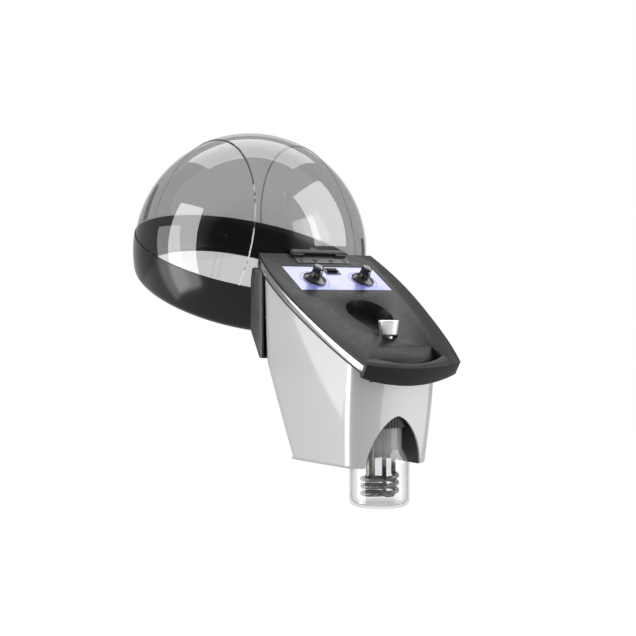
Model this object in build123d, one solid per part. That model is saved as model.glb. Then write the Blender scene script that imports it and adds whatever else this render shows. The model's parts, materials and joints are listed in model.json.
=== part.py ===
from build123d import *

import math
import os

# Salon hair steamer head: a sloping silver housing with a control panel, a glass boiler jar below it and a
# tilting globe hood behind it.  Units are millimetres; +Z is up, -Y faces the operator and +X is to the right.
# The origin is the centre of the pole socket's mouth, level with the underside of the housing.

# ---- overall form -------------------------------------------------------------------------------------------
HOOD_R = 190.0  # outside radius of the globe hood
HOOD_GAP = 7.0  # between the panel's back edge and the hood
HOOD_Z = 305.0  # hood centre above the pole socket's mouth
HOOD_TILT = 21.5  # slope of the seam between globe and band, down toward the operator
RIM_EXTRA_TILT = 2.6  # how much more the bottom rim slopes than the seam
BAND_DEPTH = 67.5  # seam to rim, at the hood's axis
PANEL_SLOPE = 32.3  # slope of the control panel
PANEL_LENGTH = 295.0  # back edge to the middle of the front edge, along the slope
PANEL_Y = 30.0  # point on the panel's top face where the plan is widest
PANEL_Z = 260.0

# ---- shared walls and clearances ----------------------------------------------------------------------------
SHELL_WALL = 3.0
SLIP = 0.3  # gap between parts that are fitted by hand
RUNNING = 0.05  # radial clearance of a pin or shaft in its bore
SEAT_GAP = 0.3  # gap between parts that close on each other

# ---- control panel ------------------------------------------------------------------------------------------
PANEL_BACK_HALF = 99.0
PANEL_WIDE_HALF = 107.0
PANEL_MID_HALF = 101.0
PANEL_FRONT_HALF = 77.5
PANEL_FRONT_BOW = 11.0  # the front edge bows forward by this much
PANEL_DEPTH = 16.0  # skirt, measured square to the top face
PANEL_TOP = 3.5
PANEL_BACK_Y = 83.0
TRIM_DEPTH = 10.0
TRIM_THICKNESS = 2.5
TRIM_DROP = 4.0  # top edge of the trim below the panel's top face
TRIM_END = 4.0  # the trims stop this far behind the front corners
LIP_WALL = 8.0
LIP_CORNER_DROP = 16.0
LIP_MIDDLE_DROP = 24.0
GRIP_LENGTH = 104.0
GRIP_DEPTH = 48.3  # panel's front edge to the grip's straight back
GRIP_FRONT_BAR = 10.5
GRIP_WALL_DROP = 44.0  # the grip's back wall runs down this far in front of the housing
GRIP_END_FLARE = 6.0  # each end of the grip widens by this much toward the front
GRIP_END_SETBACK = 17.0

# ---- controls on the panel ----------------------------------------------------------------------------------
LABEL_WIDTH = 158.0
LABEL_LENGTH = 65.0
LABEL_MID = -5.0
LABEL_THICKNESS = 0.8
LABEL_RECESS = 1.6
KNOB_SPACING = 83.6
KNOB_MID = -9.0
KNOB_SKIRT_R = 17.0
KNOB_GRIP_R = 7.5
KNOB_HEIGHT = 22.0
KNOB_WAIST = 7.0  # height at which the skirt has narrowed to the grip
KNOB_LIFT = 0.8  # gap under the knob
SHAFT_R = 3.0
SHAFT_LENGTH = 36.0
TIMER_R = 20.0
TIMER_DEPTH = 26.0
REGULATOR_SIDE = 34.0
REGULATOR_DEPTH = 24.0
BUSH_R = 5.0
ROCKER_LENGTH = 20.0
ROCKER_WIDTH = 12.0
ROCKER_RIM = 2.0
ROCKER_DEPTH = 22.0
ROCKER_MID = 14.5
ROCKER_EASE = 1.1  # gap beside the rocker that lets it tip

# ---- filler -------------------------------------------------------------------------------------------------
WELL_HALF = 35.0
WELL_BACK = -64.0
WELL_FRONT_SETBACK = 69.3  # panel's front edge to the front of the well
WELL_FRONT_HALF = 15.0
WELL_DEPTH = 24.0
WELL_TAPER = 14.0
WELL_WALL = 2.5
PLUG_AHEAD = 21.0  # plug ahead of the jar's axis
PLUG_TOP_Z = 198.0
PLUG_TOP_R = 16.5
PLUG_FOOT_R = 11.5
PLUG_FOOT_LIFT = 9.0  # grip's foot above the well's floor
PLUG_STEM_R = 5.6
PLUG_STEM_LENGTH = 16.0
FILLER_BORE_R = 6.3
FILLER_WALL = 1.6

# ---- housing ------------------------------------------------------------------------------------------------
FRONT_SETBACK = 63.36  # panel's front edge to the housing's front corners at the bottom edge
FRONT_HALF = 66.0
FRONT_LEAN = 0.102  # forward lean of the front face for each mm of height
FRONT_BOW = 10.0  # the front face bows forward between its corners
SIDE_FLARE_Y = 0.094  # half width gained for each mm toward the back
SIDE_FLARE_Z = 0.045  # half width gained for each mm of height
BACK_FOOT_Y = 32.0
BACK_KNEE_Z = 138.0
CORNER_R = 16.0
BACK_WINDOW_HALF = 55.0
BACK_WINDOW_DROP = 27.0  # window's lower edge below the steam duct
BACK_WINDOW_HIGH = 262.0
ARCH_TOP = 69.0
ARCH_HALF = 46.0
ARCH_REACH = 18.0  # the arch is cut this far behind the front corners

# ---- jar bay, jar and boiler --------------------------------------------------------------------------------
JAR_SETBACK = 26.0  # jar's axis behind the housing's front corners
JAR_R = 41.5
JAR_WALL = 2.4
JAR_BOTTOM_Z = -57.0
JAR_CORNER_R = 8.0
JAR_SHOULDER_Z = 1.0
JAR_NECK_Z = 24.0
JAR_NECK_R = 30.8
JAR_TOP_Z = 70.0
BEAD_Z = 55.5
BEAD_HEIGHT = 3.5
BEAD_STEP = 2.0
SKIRT_WALL = 1.6
SKIRT_DEPTH = 13.0
COLLAR_WALL = 2.6
COLLAR_FLOOR = 3.0
GASKET_THICKNESS = 2.0
BAY_HALF = 47.0
BAY_LENGTH = 52.0  # jar's axis to the back of the bay
BAY_WALL = 2.5
BAY_ROOF_Z = 76.5
HEAD_FLANGE_R = 39.0
HEAD_FLANGE = 6.0
COIL_R = 24.0
COIL_TUBE_R = 3.2
COIL_PITCH = 10.0
COIL_TURNS = 3
COIL_LOW_Z = -45.0
RETURN_LEG_R = 8.0  # distance of the return leg from the coil's axis
PROBE_R = 6.0
PROBE_X = -15.0
PROBE_FOOT_Z = -20.0
NUT_R = 6.0
NUT_HEIGHT = 5.0

# ---- chassis, pole socket and electrics ---------------------------------------------------------------------
PLATE = 2.0
BOTTOM_PLATE = 3.0
CHASSIS_HALF = 56.0
CHASSIS_BACK_Y = 32.0
POLE_R = 14.0
POLE_DEPTH = 85.0
SOCKET_WALL = 4.0
SOCKET_CAP = 5.0
SOCKET_FLANGE_R = 27.0
GRUB_R = 3.0
POST_R = 5.0
POST_X = 46.0
POST_Y = -8.0
INLET_WIDTH = 27.0
INLET_LENGTH = 20.0
INLET_DEPTH = 22.0
INLET_X = 44.0
INLET_Y = 11.0
INLET_FLANGE = 3.0

# ---- steam path ---------------------------------------------------------------------------------------------
DUCT_R = 11.0
DUCT_WALL = 2.0
DUCT_BEHIND = 17.0  # duct behind the jar's axis
DUCT_BEND_R = 16.0
DUCT_KNEE_Y = 78.0
DUCT_SWEEP_R = 70.0
PORT_ANGLE = 33.0  # below the horizontal, seen from the hood's centre
PORT_R = 9.0
SEAL_R = 15.0
SEAL_THICKNESS = 2.5

# ---- hood and its hinge -------------------------------------------------------------------------------------
HOOD_WALL = 3.0
DOME_STEP = 1.2  # the side fields of the dome sit this much below its crown strip
STRIP_HALF = 104.0  # half width of the crown strip at the seam
STRIP_LEAN = 0.19  # half width lost for each mm above the seam
RIM_ROUND = 9.0
RIM_LIP = 12.0
TONGUE_HEIGHT = 67.0
TONGUE_WIDTH = 9.0
TONGUE_SLOT = 1.3
TONGUE_FOOT = 4.0  # the tongue stays joined to the dome below this height
TONGUE_AT = (45.0, 135.0, 225.0, 315.0)
BRACKET_HALF = 28.0
BRACKET_WALL = 3.6
BRACKET_GAP = 0.2
BRACKET_END = 43.0  # lower end, degrees below the horizontal at the hood's centre
HINGE_AHEAD = 1.7  # hinge axis ahead of the panel's back edge, along the slope
HINGE_RISE = 4.4  # hinge axis above the panel's top face
KNUCKLE_R = 3.8
HINGE_PIN_R = 1.8
HINGE_HALF = 46.0
WEB = 4.0
LEAF = 2.4  # thickness of the fixed hinge leaf
LEAF_LENGTH = 26.0
LEAF_TOP = 0.8  # the leaf stands this far proud of the panel
LEAF_SEAT = -0.8  # height of the leaf's screw seats
COVER_HALF = 94.0
COVER_OVERHANG = 2.4  # cover's back beyond the steam port
COVER_TOP_Z = 273.0
COVER_LOW_DROP = 17.3  # lower end of the cover's upright back, below the steam port
COVER_TIP_AHEAD = 26.0
COVER_TIP_DROP = 57.3
COVER_GAP = 6.0  # between the hood and the concave face of the cover

# ---- fasteners ----------------------------------------------------------------------------------------------
SCREW_R = 1.6
SCREW_HEAD_R = 3.2
SCREW_HEAD = 2.0
SCREW_LENGTH = 9.0

# ---- derived values -----------------------------------------------------------------------------------------
BIG = 900.0
SLOPE = math.radians(PANEL_SLOPE)
HOOD_Y = PANEL_BACK_Y + HOOD_GAP + HOOD_R
HOOD_CENTRE = Vector(0, HOOD_Y, HOOD_Z)
PANEL = Plane(origin=(0, PANEL_Y, PANEL_Z), x_dir=(1, 0, 0), z_dir=(0, -math.sin(SLOPE), math.cos(SLOPE)))
HOOD = Plane(
    origin=HOOD_CENTRE,
    x_dir=(1, 0, 0),
    z_dir=(0, -math.sin(math.radians(HOOD_TILT)), math.cos(math.radians(HOOD_TILT))),
)
PANEL_BACK = (PANEL_BACK_Y - PANEL_Y) / math.cos(SLOPE)
PANEL_FRONT = PANEL_BACK - PANEL_LENGTH
GRIP_BACK = PANEL_FRONT + GRIP_DEPTH
WELL_FRONT = PANEL_FRONT + WELL_FRONT_SETBACK
FRONT_Y = PANEL_Y + PANEL_FRONT * math.cos(SLOPE) + FRONT_SETBACK
JAR_Y = FRONT_Y + JAR_SETBACK
PLUG_Y = JAR_Y - PLUG_AHEAD
DUCT_Y = JAR_Y + DUCT_BEHIND
BAY_BACK_Y = JAR_Y + BAY_LENGTH
COVER_FACE_R = HOOD_R + COVER_GAP
PORT_Y = HOOD_Y - COVER_FACE_R * math.cos(math.radians(PORT_ANGLE))
PORT_Z = HOOD_Z - COVER_FACE_R * math.sin(math.radians(PORT_ANGLE))
COVER_BACK_Y = PORT_Y + COVER_OVERHANG
COVER_LOW_Z = PORT_Z - COVER_LOW_DROP
COVER_TIP_Y = COVER_BACK_Y - COVER_TIP_AHEAD
COVER_TIP_Z = PORT_Z - COVER_TIP_DROP
DUCT_BACK_Z = PORT_Z - (PORT_Y - PANEL_BACK_Y) * math.tan(math.radians(PORT_ANGLE))
BACK_WINDOW_LOW = DUCT_BACK_Z - BACK_WINDOW_DROP
BRACKET_IN_R = HOOD_R + BRACKET_GAP
BRACKET_OUT_R = BRACKET_IN_R + BRACKET_WALL
JAR_NECK_IN = JAR_NECK_R - JAR_WALL
BEAD_R = JAR_NECK_R + BEAD_STEP
SKIRT_IN = BEAD_R + SLIP
SKIRT_OUT = SKIRT_IN + SKIRT_WALL
COLLAR_IN = SKIRT_OUT + RUNNING
COLLAR_OUT = COLLAR_IN + COLLAR_WALL
HEAD_FLOOR_Z = JAR_TOP_Z + GASKET_THICKNESS
HEAD_TOP_Z = BAY_ROOF_Z + HEAD_FLANGE
CHASSIS_TOP_Z = HEAD_TOP_Z + PLATE
SOCKET_OUT_R = POLE_R + SOCKET_WALL
HINGE_V = PANEL_BACK - HINGE_AHEAD
FILLER_OUT_R = FILLER_BORE_R + FILLER_WALL


def on_panel(x, v, w=0.0):
    """Row-frame point from panel coordinates: x across, v up the slope, w square to the top face."""
    return PANEL.from_local_coords(Vector(x, v, w))


def at_hood(angle, radius, x=0.0):
    """Point behind the hood's centre plane at an angle below the horizontal and a distance from its centre."""
    a = math.radians(angle)
    reach = math.sqrt(radius**2 - x**2)
    return Vector(x, HOOD_Y - reach * math.cos(a), HOOD_Z - reach * math.sin(a))


def facing_hood(angle, radius, x=0.0):
    """Plane at that point whose normal runs to the hood's centre."""
    point = at_hood(angle, radius, x)
    return Plane(origin=point, x_dir=(1, 0, 0) if not x else None, z_dir=HOOD_CENTRE - point)


def below(plane):
    """Half space on the negative side of a plane."""
    return plane * Pos(0, 0, -BIG / 2) * Box(BIG, BIG, BIG)


def above(plane):
    """Half space on the positive side of a plane."""
    return plane * Pos(0, 0, BIG / 2) * Box(BIG, BIG, BIG)


def rod(radius, low, high, x=0.0, y=0.0):
    """Upright cylinder between two heights."""
    return Pos(x, y, (low + high) / 2) * Cylinder(radius, high - low)


def tube(radius, bore, low, high, x=0.0, y=0.0):
    """Upright tube between two heights."""
    return rod(radius, low, high, x, y) - rod(bore, low - 1, high + 1, x, y)


def globe(radius):
    """Ball about the hood's centre, with its poles on the hood's axis."""
    return HOOD.location * Sphere(radius)


def slab(x0, x1, y0, y1, z0, z1):
    """Box from its two corners."""
    return Pos((x0 + x1) / 2, (y0 + y1) / 2, (z0 + z1) / 2) * Box(x1 - x0, y1 - y0, z1 - z0)


def screw(plane, length=SCREW_LENGTH):
    """Pan-head screw whose head stands on a plane and whose shank goes below it."""
    head = Pos(0, 0, SCREW_HEAD / 2) * Cylinder(SCREW_HEAD_R, SCREW_HEAD)
    slot = Pos(0, 0, SCREW_HEAD) * Box(SCREW_HEAD_R * 1.2, 0.8, 1.2)
    cross = Pos(0, 0, SCREW_HEAD) * Box(0.8, SCREW_HEAD_R * 1.2, 1.2)
    shank = Pos(0, 0, -length / 2) * Cylinder(SCREW_R, length)
    return plane * (head + shank - slot - cross)


def screw_holes(planes, length=SCREW_LENGTH):
    """Clearance holes for a set of screws."""
    return [p * Pos(0, 0, -length / 2) * Cylinder(SCREW_R + RUNNING, length + 4) for p in planes]


# ---- control panel ------------------------------------------------------------------------------------------
def panel_face(inset=0.0):
    """Plan of the panel in its own plane, running past the back edge, which is cut upright."""
    front = PANEL_FRONT + PANEL_FRONT_BOW + inset
    back = PANEL_BACK + PANEL_DEPTH
    side = [
        (PANEL_FRONT_HALF - inset, front),
        (PANEL_MID_HALF - inset, front * 0.5),
        (PANEL_WIDE_HALF - inset, 0.0),
        (PANEL_BACK_HALF - inset, PANEL_BACK),
    ]
    right = Spline(*side, tangents=[(0.35, 1), (-0.2, 1)])
    right_back = Line(side[-1], (side[-1][0] - 0.2 * (back - PANEL_BACK), back))
    left = mirror(right, about=Plane.YZ)
    left_back = mirror(right_back, about=Plane.YZ)
    bow = ThreePointArc((-side[0][0], front), (0, PANEL_FRONT + inset), (side[0][0], front))
    rear = Line(right_back @ 1, (-(right_back @ 1).X, back))
    return make_face([right, right_back, rear, left_back, left, bow])


def panel_block(inset, top, bottom):
    """Solid under the panel's plan between two depths, cut upright at the back."""
    block = PANEL * Pos(0, 0, bottom) * extrude(panel_face(inset), top - bottom)
    return block & slab(-BIG, BIG, -BIG, PANEL_BACK_Y - inset, -BIG, BIG)


def grip_face():
    """Crescent of the hand grip, straight at the back and bowed with the panel's front edge."""
    front = PANEL_FRONT + GRIP_FRONT_BAR
    half = GRIP_LENGTH / 2
    ends = [(-half, GRIP_BACK), (half, GRIP_BACK), (half + GRIP_END_FLARE, front + GRIP_END_SETBACK)]
    path = Polyline(*ends)
    bow = ThreePointArc(ends[2], (0, front), (-ends[2][0], ends[2][1]))
    return make_face([path, bow, Line((-ends[2][0], ends[2][1]), ends[0])])


def well_face(grow=0.0):
    """Egg outline of the filler well: a wide round at the back and a small round in front."""
    big, small = WELL_HALF + grow, WELL_FRONT_HALF + grow
    back_mid = WELL_BACK - WELL_HALF
    front_mid = WELL_FRONT + WELL_FRONT_HALF
    turn = math.asin((big - small) / (back_mid - front_mid))
    c, s = math.cos(turn), math.sin(turn)
    right_top = (big * c, back_mid - big * s)
    right_low = (small * c, front_mid - small * s)
    crown = ThreePointArc((-right_top[0], right_top[1]), (0, back_mid + big), right_top)
    nose = ThreePointArc(right_low, (0, front_mid - small), (-right_low[0], right_low[1]))
    down = Line(right_top, right_low)
    up = Line((-right_low[0], right_low[1]), (-right_top[0], right_top[1]))
    return make_face([crown, down, nose, up])


def control_panel():
    """Black top shell with its skirt, filler well, hand grip and seats for the controls."""
    body = panel_block(0, 0, -PANEL_DEPTH)
    front_zone = PANEL * Pos(0, GRIP_BACK + 12 - BIG / 2, 0) * Box(BIG, BIG, BIG)
    wall = TRIM_THICKNESS + SHELL_WALL
    cavity = panel_block(wall, -PANEL_TOP, -PANEL_DEPTH + SHELL_WALL) - front_zone
    body -= cavity
    body -= housing_block(SHELL_WALL + 1, over=True) & above(PANEL.offset(-PANEL_DEPTH - 1)) - above(
        PANEL.offset(-PANEL_DEPTH + SHELL_WALL)
    )
    grip = PANEL * extrude(grip_face(), BIG / 4, both=True)
    grip_wall = PANEL * Pos(0, 0, -PANEL_DEPTH) * extrude(offset(grip_face(), SHELL_WALL), PANEL_DEPTH)
    hollow = (panel_block(wall, -PANEL_TOP, -PANEL_DEPTH - 1) & front_zone) - grip_wall
    body -= hollow - (PANEL * Pos(0, GRIP_BACK + 12, 0) * Box(BIG, 2 * SHELL_WALL, BIG))
    low = LIP_MIDDLE_DROP + 8
    lip = panel_block(0, 0, -low) - panel_block(LIP_WALL, 1, -low - 1)
    body += lip & front_lip_band()
    body -= grip
    body += grip_back_wall()
    well_outer = PANEL * extrude(well_face(WELL_WALL), -WELL_DEPTH, taper=WELL_TAPER)
    well_inner = PANEL * extrude(well_face(), -(WELL_DEPTH - WELL_WALL), taper=WELL_TAPER)
    body += well_outer & below(PANEL)
    body -= well_inner
    body -= rod(FILLER_BORE_R, 0, PLUG_TOP_Z, y=PLUG_Y)
    label = Pos(0, LABEL_MID, 0) * Box(LABEL_WIDTH, LABEL_LENGTH, 2 * LABEL_RECESS)
    body -= PANEL * label
    for x in (-KNOB_SPACING / 2, KNOB_SPACING / 2):
        body -= PANEL * Pos(x, KNOB_MID, 0) * Cylinder(BUSH_R + SLIP, 3 * PANEL_TOP)
    rocker_seat = Box(ROCKER_LENGTH + SLIP, ROCKER_WIDTH + SLIP, 3 * PANEL_TOP)
    body -= PANEL * Pos(0, ROCKER_MID, 0) * rocker_seat
    body -= trim_block()
    body -= hinge_leaf(SLIP)
    for hole in screw_holes(hinge_screw_planes()):
        body -= hole
    return body


def grip_back_wall():
    """Wall that runs from the grip's back edge down in front of the housing."""
    top = on_panel(0, GRIP_BACK)
    face = front_face_y(top.Z - GRIP_WALL_DROP) - SEAT_GAP - SHELL_WALL
    knee = top.Z - GRIP_WALL_DROP / 2
    low = top.Z - GRIP_WALL_DROP
    outline = Polyline(
        (top.Y, top.Z), (face, knee), (face, low), (face + SHELL_WALL, low), (face + SHELL_WALL, knee),
        (top.Y + SHELL_WALL, top.Z - 2), close=True,
    )
    half = GRIP_LENGTH / 2 + SHELL_WALL
    return extrude(Plane.YZ * make_face(outline), half, both=True)


def front_face_y(z):
    """Foremost point of the housing's front face at a height."""
    return FRONT_Y - FRONT_LEAN * (z + GRIP_WALL_DROP) - FRONT_BOW


def front_lip_band():
    """Region of the deep front lip: its lower edge is an arc, deepest in the middle."""
    corner = on_panel(PANEL_FRONT_HALF, PANEL_FRONT + PANEL_FRONT_BOW)
    middle = on_panel(0, PANEL_FRONT)
    low_corner = corner.Z - LIP_CORNER_DROP
    low_middle = middle.Z - LIP_MIDDLE_DROP
    half = PANEL_FRONT_HALF + 3
    arc = ThreePointArc((-half, low_corner), (0, low_middle), (half, low_corner))
    sides = Polyline((half, low_corner), (half, low_corner + 60), (-half, low_corner + 60), (-half, low_corner))
    face = Plane.XZ * make_face([arc, sides])
    return extrude(face, BIG / 2, both=True) & slab(-BIG, BIG, -BIG, corner.Y + 14, -BIG, BIG)


def trim_block():
    """Ring in the panel's skirt that the two side trims fill."""
    ring = panel_block(-5, -TRIM_DROP, -TRIM_DROP - TRIM_DEPTH)
    ring -= panel_block(TRIM_THICKNESS, 0, -PANEL_DEPTH)
    front = PANEL_FRONT + PANEL_FRONT_BOW + TRIM_END
    ring &= PANEL * slab(-BIG, BIG, front, BIG, -BIG, BIG)
    return ring & slab(-BIG, BIG, -BIG, PANEL_BACK_Y - 6, -BIG, BIG)


def side_trim(side):
    """Bright strip along one side of the panel."""
    strip = panel_block(0, -TRIM_DROP, -TRIM_DROP - TRIM_DEPTH) & trim_block()
    return strip & slab(min(0, side * BIG), max(0, side * BIG), -BIG, BIG, -BIG, BIG)


def fascia_label():
    """Thin printed plate in the panel's recess, pierced for the two knobs and the switch."""
    plate = PANEL * Pos(0, LABEL_MID, LABEL_THICKNESS / 2 - LABEL_RECESS) * Box(
        LABEL_WIDTH - SLIP, LABEL_LENGTH - SLIP, LABEL_THICKNESS
    )
    for x in (-KNOB_SPACING / 2, KNOB_SPACING / 2):
        plate -= PANEL * Pos(x, KNOB_MID, 0) * Cylinder(BUSH_R + SLIP, 3 * PANEL_TOP)
    return plate - PANEL * Pos(0, ROCKER_MID, 0) * Box(
        ROCKER_LENGTH + SLIP, ROCKER_WIDTH + SLIP, 3 * PANEL_TOP
    )


# ---- knobs, timer, regulator and switch ---------------------------------------------------------------------
def knob(side):
    """Control knob: a flared skirt under a round grip with a pointer rib."""
    base = LABEL_THICKNESS - LABEL_RECESS + KNOB_LIFT
    top = KNOB_HEIGHT
    flare = Spline(
        (KNOB_SKIRT_R, base + 1.5), (KNOB_GRIP_R + 1, base + KNOB_WAIST), tangents=[(-0.6, 0.25), (-0.1, 1)]
    )
    outline = Polyline((KNOB_GRIP_R + 1, base + KNOB_WAIST), (KNOB_GRIP_R, top), (0, top), (0, base))
    foot = Polyline((0, base), (KNOB_SKIRT_R, base), (KNOB_SKIRT_R, base + 1.5))
    body = revolve(Plane.XZ * make_face([foot, flare, outline]), Axis.Z)
    rib = Pos(0, 0, (base + KNOB_WAIST + top) / 2 + 1) * Box(3, 2 * KNOB_GRIP_R + 5, top - base - KNOB_WAIST + 2)
    body += rib
    body -= Cylinder(SHAFT_R + RUNNING, 2 * (top - 6))
    return PANEL * Pos(side * KNOB_SPACING / 2, KNOB_MID, 0) * body


def control_shaft(side):
    """Metal shaft that a knob turns."""
    top = KNOB_HEIGHT - 6.5
    shaft = Pos(0, 0, top - SHAFT_LENGTH / 2) * Cylinder(SHAFT_R, SHAFT_LENGTH)
    return PANEL * Pos(side * KNOB_SPACING / 2, KNOB_MID, 0) * shaft


def control_body(side, case):
    """A timer or regulator case under the panel with its bush round the shaft."""
    top = -PANEL_TOP
    depth = case.bounding_box().size.Z
    body = Pos(0, 0, top - depth / 2) * case
    bush_top = LABEL_THICKNESS - LABEL_RECESS
    body += Pos(0, 0, (bush_top + top) / 2 - 1) * Cylinder(BUSH_R, bush_top - top + 2)
    bore_low = KNOB_HEIGHT - 6.5 - SHAFT_LENGTH
    body -= Pos(0, 0, bore_low + BIG / 2 - 0.5) * Cylinder(SHAFT_R + RUNNING, BIG)
    return PANEL * Pos(side * KNOB_SPACING / 2, KNOB_MID, 0) * body


def switch_body():
    """Rocker switch case, snapped into the panel, with a rim on the label."""
    rim_low = LABEL_THICKNESS - LABEL_RECESS
    rim = Pos(0, 0, rim_low + 0.75) * Box(ROCKER_LENGTH + 2 * ROCKER_RIM, ROCKER_WIDTH + 2 * ROCKER_RIM, 1.5)
    case = Pos(0, 0, rim_low - ROCKER_DEPTH / 2) * Box(ROCKER_LENGTH, ROCKER_WIDTH, ROCKER_DEPTH)
    room = Pos(0, 0, rim_low) * Box(ROCKER_LENGTH - 2, ROCKER_WIDTH - 2, 12)
    axle_room = Pos(0, 0, rim_low - 2) * Rot(0, 90, 0) * Cylinder(1.5 + RUNNING, ROCKER_LENGTH - 1)
    return PANEL * Pos(0, ROCKER_MID, 0) * (rim + case - room - axle_room)


def rocker_button():
    """Rocker with its two small axle stubs."""
    rim_low = LABEL_THICKNESS - LABEL_RECESS
    half = (ROCKER_WIDTH - 2) / 2 - ROCKER_EASE
    low, high = rim_low - 4.5, rim_low + 3.0
    outline = Polyline(
        (-half + 1.2, low), (half - 1.2, low), (half, high), (0, high - 1.2), (-half, high + 1.4), (-half + 1.2, low)
    )
    wedge = extrude(Plane.YZ * make_face(outline), (ROCKER_LENGTH - 2) / 2 - SLIP, both=True)
    room = Pos(0, 0, (low + high) / 2) * Box(ROCKER_LENGTH - 2 - 2 * SLIP, 2 * half, high - low + 8)
    axle = Pos(0, 0, rim_low - 2) * Rot(0, 90, 0) * Cylinder(1.5, ROCKER_LENGTH - 1.4)
    return PANEL * Pos(0, ROCKER_MID, 0) * ((wedge & room) + axle)


# ---- housing ------------------------------------------------------------------------------------------------
def housing_block(inset, over=False):
    """The housing's outer form moved in on every side; it runs past the bottom, and past the top if asked."""
    low = 0.0 if inset == 0 else -20.0
    top = PANEL.offset(-PANEL_DEPTH if not over else 0)

    def half(y, z):
        return FRONT_HALF + SIDE_FLARE_Y * (y - FRONT_Y) + SIDE_FLARE_Z * z - inset

    def section(z):
        front = FRONT_Y - FRONT_LEAN * z + inset
        back = PANEL_BACK_Y - inset
        f, b = half(front, z), half(back, z)
        bow = ThreePointArc((-f, front), (0, front - FRONT_BOW), (f, front))
        rest = Polyline((f, front), (b, back), (-b, back), (-f, front))
        return Plane.XY.offset(z) * make_face([bow, rest])

    block = loft([section(low), section(HOOD_Z)])
    uprights = [e for e in block.edges() if abs(e.tangent_at(0.5).Z) > 0.9]
    block = fillet(uprights, CORNER_R - inset)
    if not over:
        block &= below(top)
    slope = Plane(
        origin=(0, BACK_FOOT_Y - inset, 0), x_dir=(1, 0, 0), z_dir=(0, BACK_KNEE_Z, BACK_FOOT_Y - PANEL_BACK_Y)
    )
    return block & below(slope)


def arch_face():
    """Pointed arch of the jar bay's mouth, seen from the front."""
    bulge = (ARCH_HALF * 0.84, ARCH_TOP * 0.36)
    foot = (ARCH_HALF, 0.0)
    right = Spline((0, ARCH_TOP), bulge, foot, tangents=[(1.0, -0.62), (0.1, -1)])
    left = mirror(right, about=Plane.YZ)
    base = Polyline(foot, (ARCH_HALF, -30), (-ARCH_HALF, -30), (-ARCH_HALF, 0))
    return make_face([right, base, left])


def housing_shell():
    """Silver shell, open at the top and bottom, with the jar arch in front and a window at the back."""
    shell = housing_block(0) - housing_block(SHELL_WALL)
    arch = Plane.XZ * arch_face()
    shell -= Pos(0, FRONT_Y + ARCH_REACH, 0) * extrude(arch, 4 * ARCH_REACH)
    window = slab(
        -BACK_WINDOW_HALF, BACK_WINDOW_HALF, PANEL_BACK_Y - 2 * SHELL_WALL, PANEL_BACK_Y + 1,
        BACK_WINDOW_LOW, BACK_WINDOW_HIGH,
    )
    return shell - window


def bay_liner():
    """Dark liner of the jar bay: two sides, a back and a roof with the boiler's hole."""
    outer = slab(-BAY_HALF, BAY_HALF, -BIG, BAY_BACK_Y, 0, BAY_ROOF_Z) & housing_block(SHELL_WALL + 0.1)
    inner = slab(-BAY_HALF + BAY_WALL, BAY_HALF - BAY_WALL, -BIG, BAY_BACK_Y - BAY_WALL, -1, BAY_ROOF_Z - BAY_WALL)
    return outer - inner - rod(SKIRT_OUT + SLIP, 0, BIG, y=JAR_Y)


def bottom_plate():
    """Black plate that closes the housing round the jar bay."""
    plate = housing_block(SHELL_WALL + SLIP) & slab(-BIG, BIG, -BIG, BIG, 0, BOTTOM_PLATE)
    plate -= slab(-BAY_HALF - SLIP, BAY_HALF + SLIP, -BIG, BAY_BACK_Y + SLIP, -1, BIG)
    plate -= rod(SOCKET_OUT_R + SLIP, -1, BIG)
    plate -= slab(
        INLET_X - INLET_WIDTH / 2 - SLIP, INLET_X + INLET_WIDTH / 2 + SLIP,
        INLET_Y - INLET_LENGTH / 2 - SLIP, INLET_Y + INLET_LENGTH / 2 + SLIP, -1, BIG,
    )
    for hole in screw_holes(base_screw_planes()):
        plate -= hole
    return plate


# ---- jar, boiler and heater ---------------------------------------------------------------------------------
def jar_outline(inset):
    """Half section of the jar's outside, or of its inside when moved in."""
    r, neck = JAR_R - inset, JAR_NECK_R - inset
    low = JAR_BOTTOM_Z + inset * 1.4
    corner = JAR_CORNER_R - inset
    s = corner * (1 - math.sqrt(0.5))
    base = Line((0, low), (r - corner, low))
    turn = ThreePointArc((r - corner, low), (r - s, low + s), (r, low + corner))
    side = Line((r, low + corner), (r, JAR_SHOULDER_Z))
    shoulder = Spline((r, JAR_SHOULDER_Z), (neck, JAR_NECK_Z), tangents=[(0, 1), (0, 1)])
    top = JAR_TOP_Z + (1 if inset else 0)
    rest = Polyline((neck, JAR_NECK_Z), (neck, top), (0, top), (0, low))
    return Plane.XZ * make_face([base, turn, side, shoulder, rest])


def glass_jar():
    """Clear bottle-shouldered jar with a bead that its collar lifts."""
    jar = revolve(jar_outline(0), Axis.Z)
    jar += rod(BEAD_R, BEAD_Z, BEAD_Z + BEAD_HEIGHT)
    jar -= revolve(jar_outline(JAR_WALL), Axis.Z)
    return Pos(0, JAR_Y, 0) * jar


def jar_collar():
    """Ribbed collar nut that holds the jar's bead against the boiler head."""
    floor_low = BEAD_Z - SEAT_GAP - COLLAR_FLOOR
    collar = tube(COLLAR_OUT, COLLAR_IN, floor_low, HEAD_FLOOR_Z - SEAT_GAP)
    collar += tube(COLLAR_IN + 1, JAR_NECK_R + SLIP, floor_low, floor_low + COLLAR_FLOOR)
    ribs = PolarLocations(COLLAR_OUT, 24)
    for place in ribs:
        collar -= place * Pos(0, 0, (floor_low + HEAD_FLOOR_Z) / 2) * Cylinder(1.2, 30)
    return Pos(0, JAR_Y, 0) * collar


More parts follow.
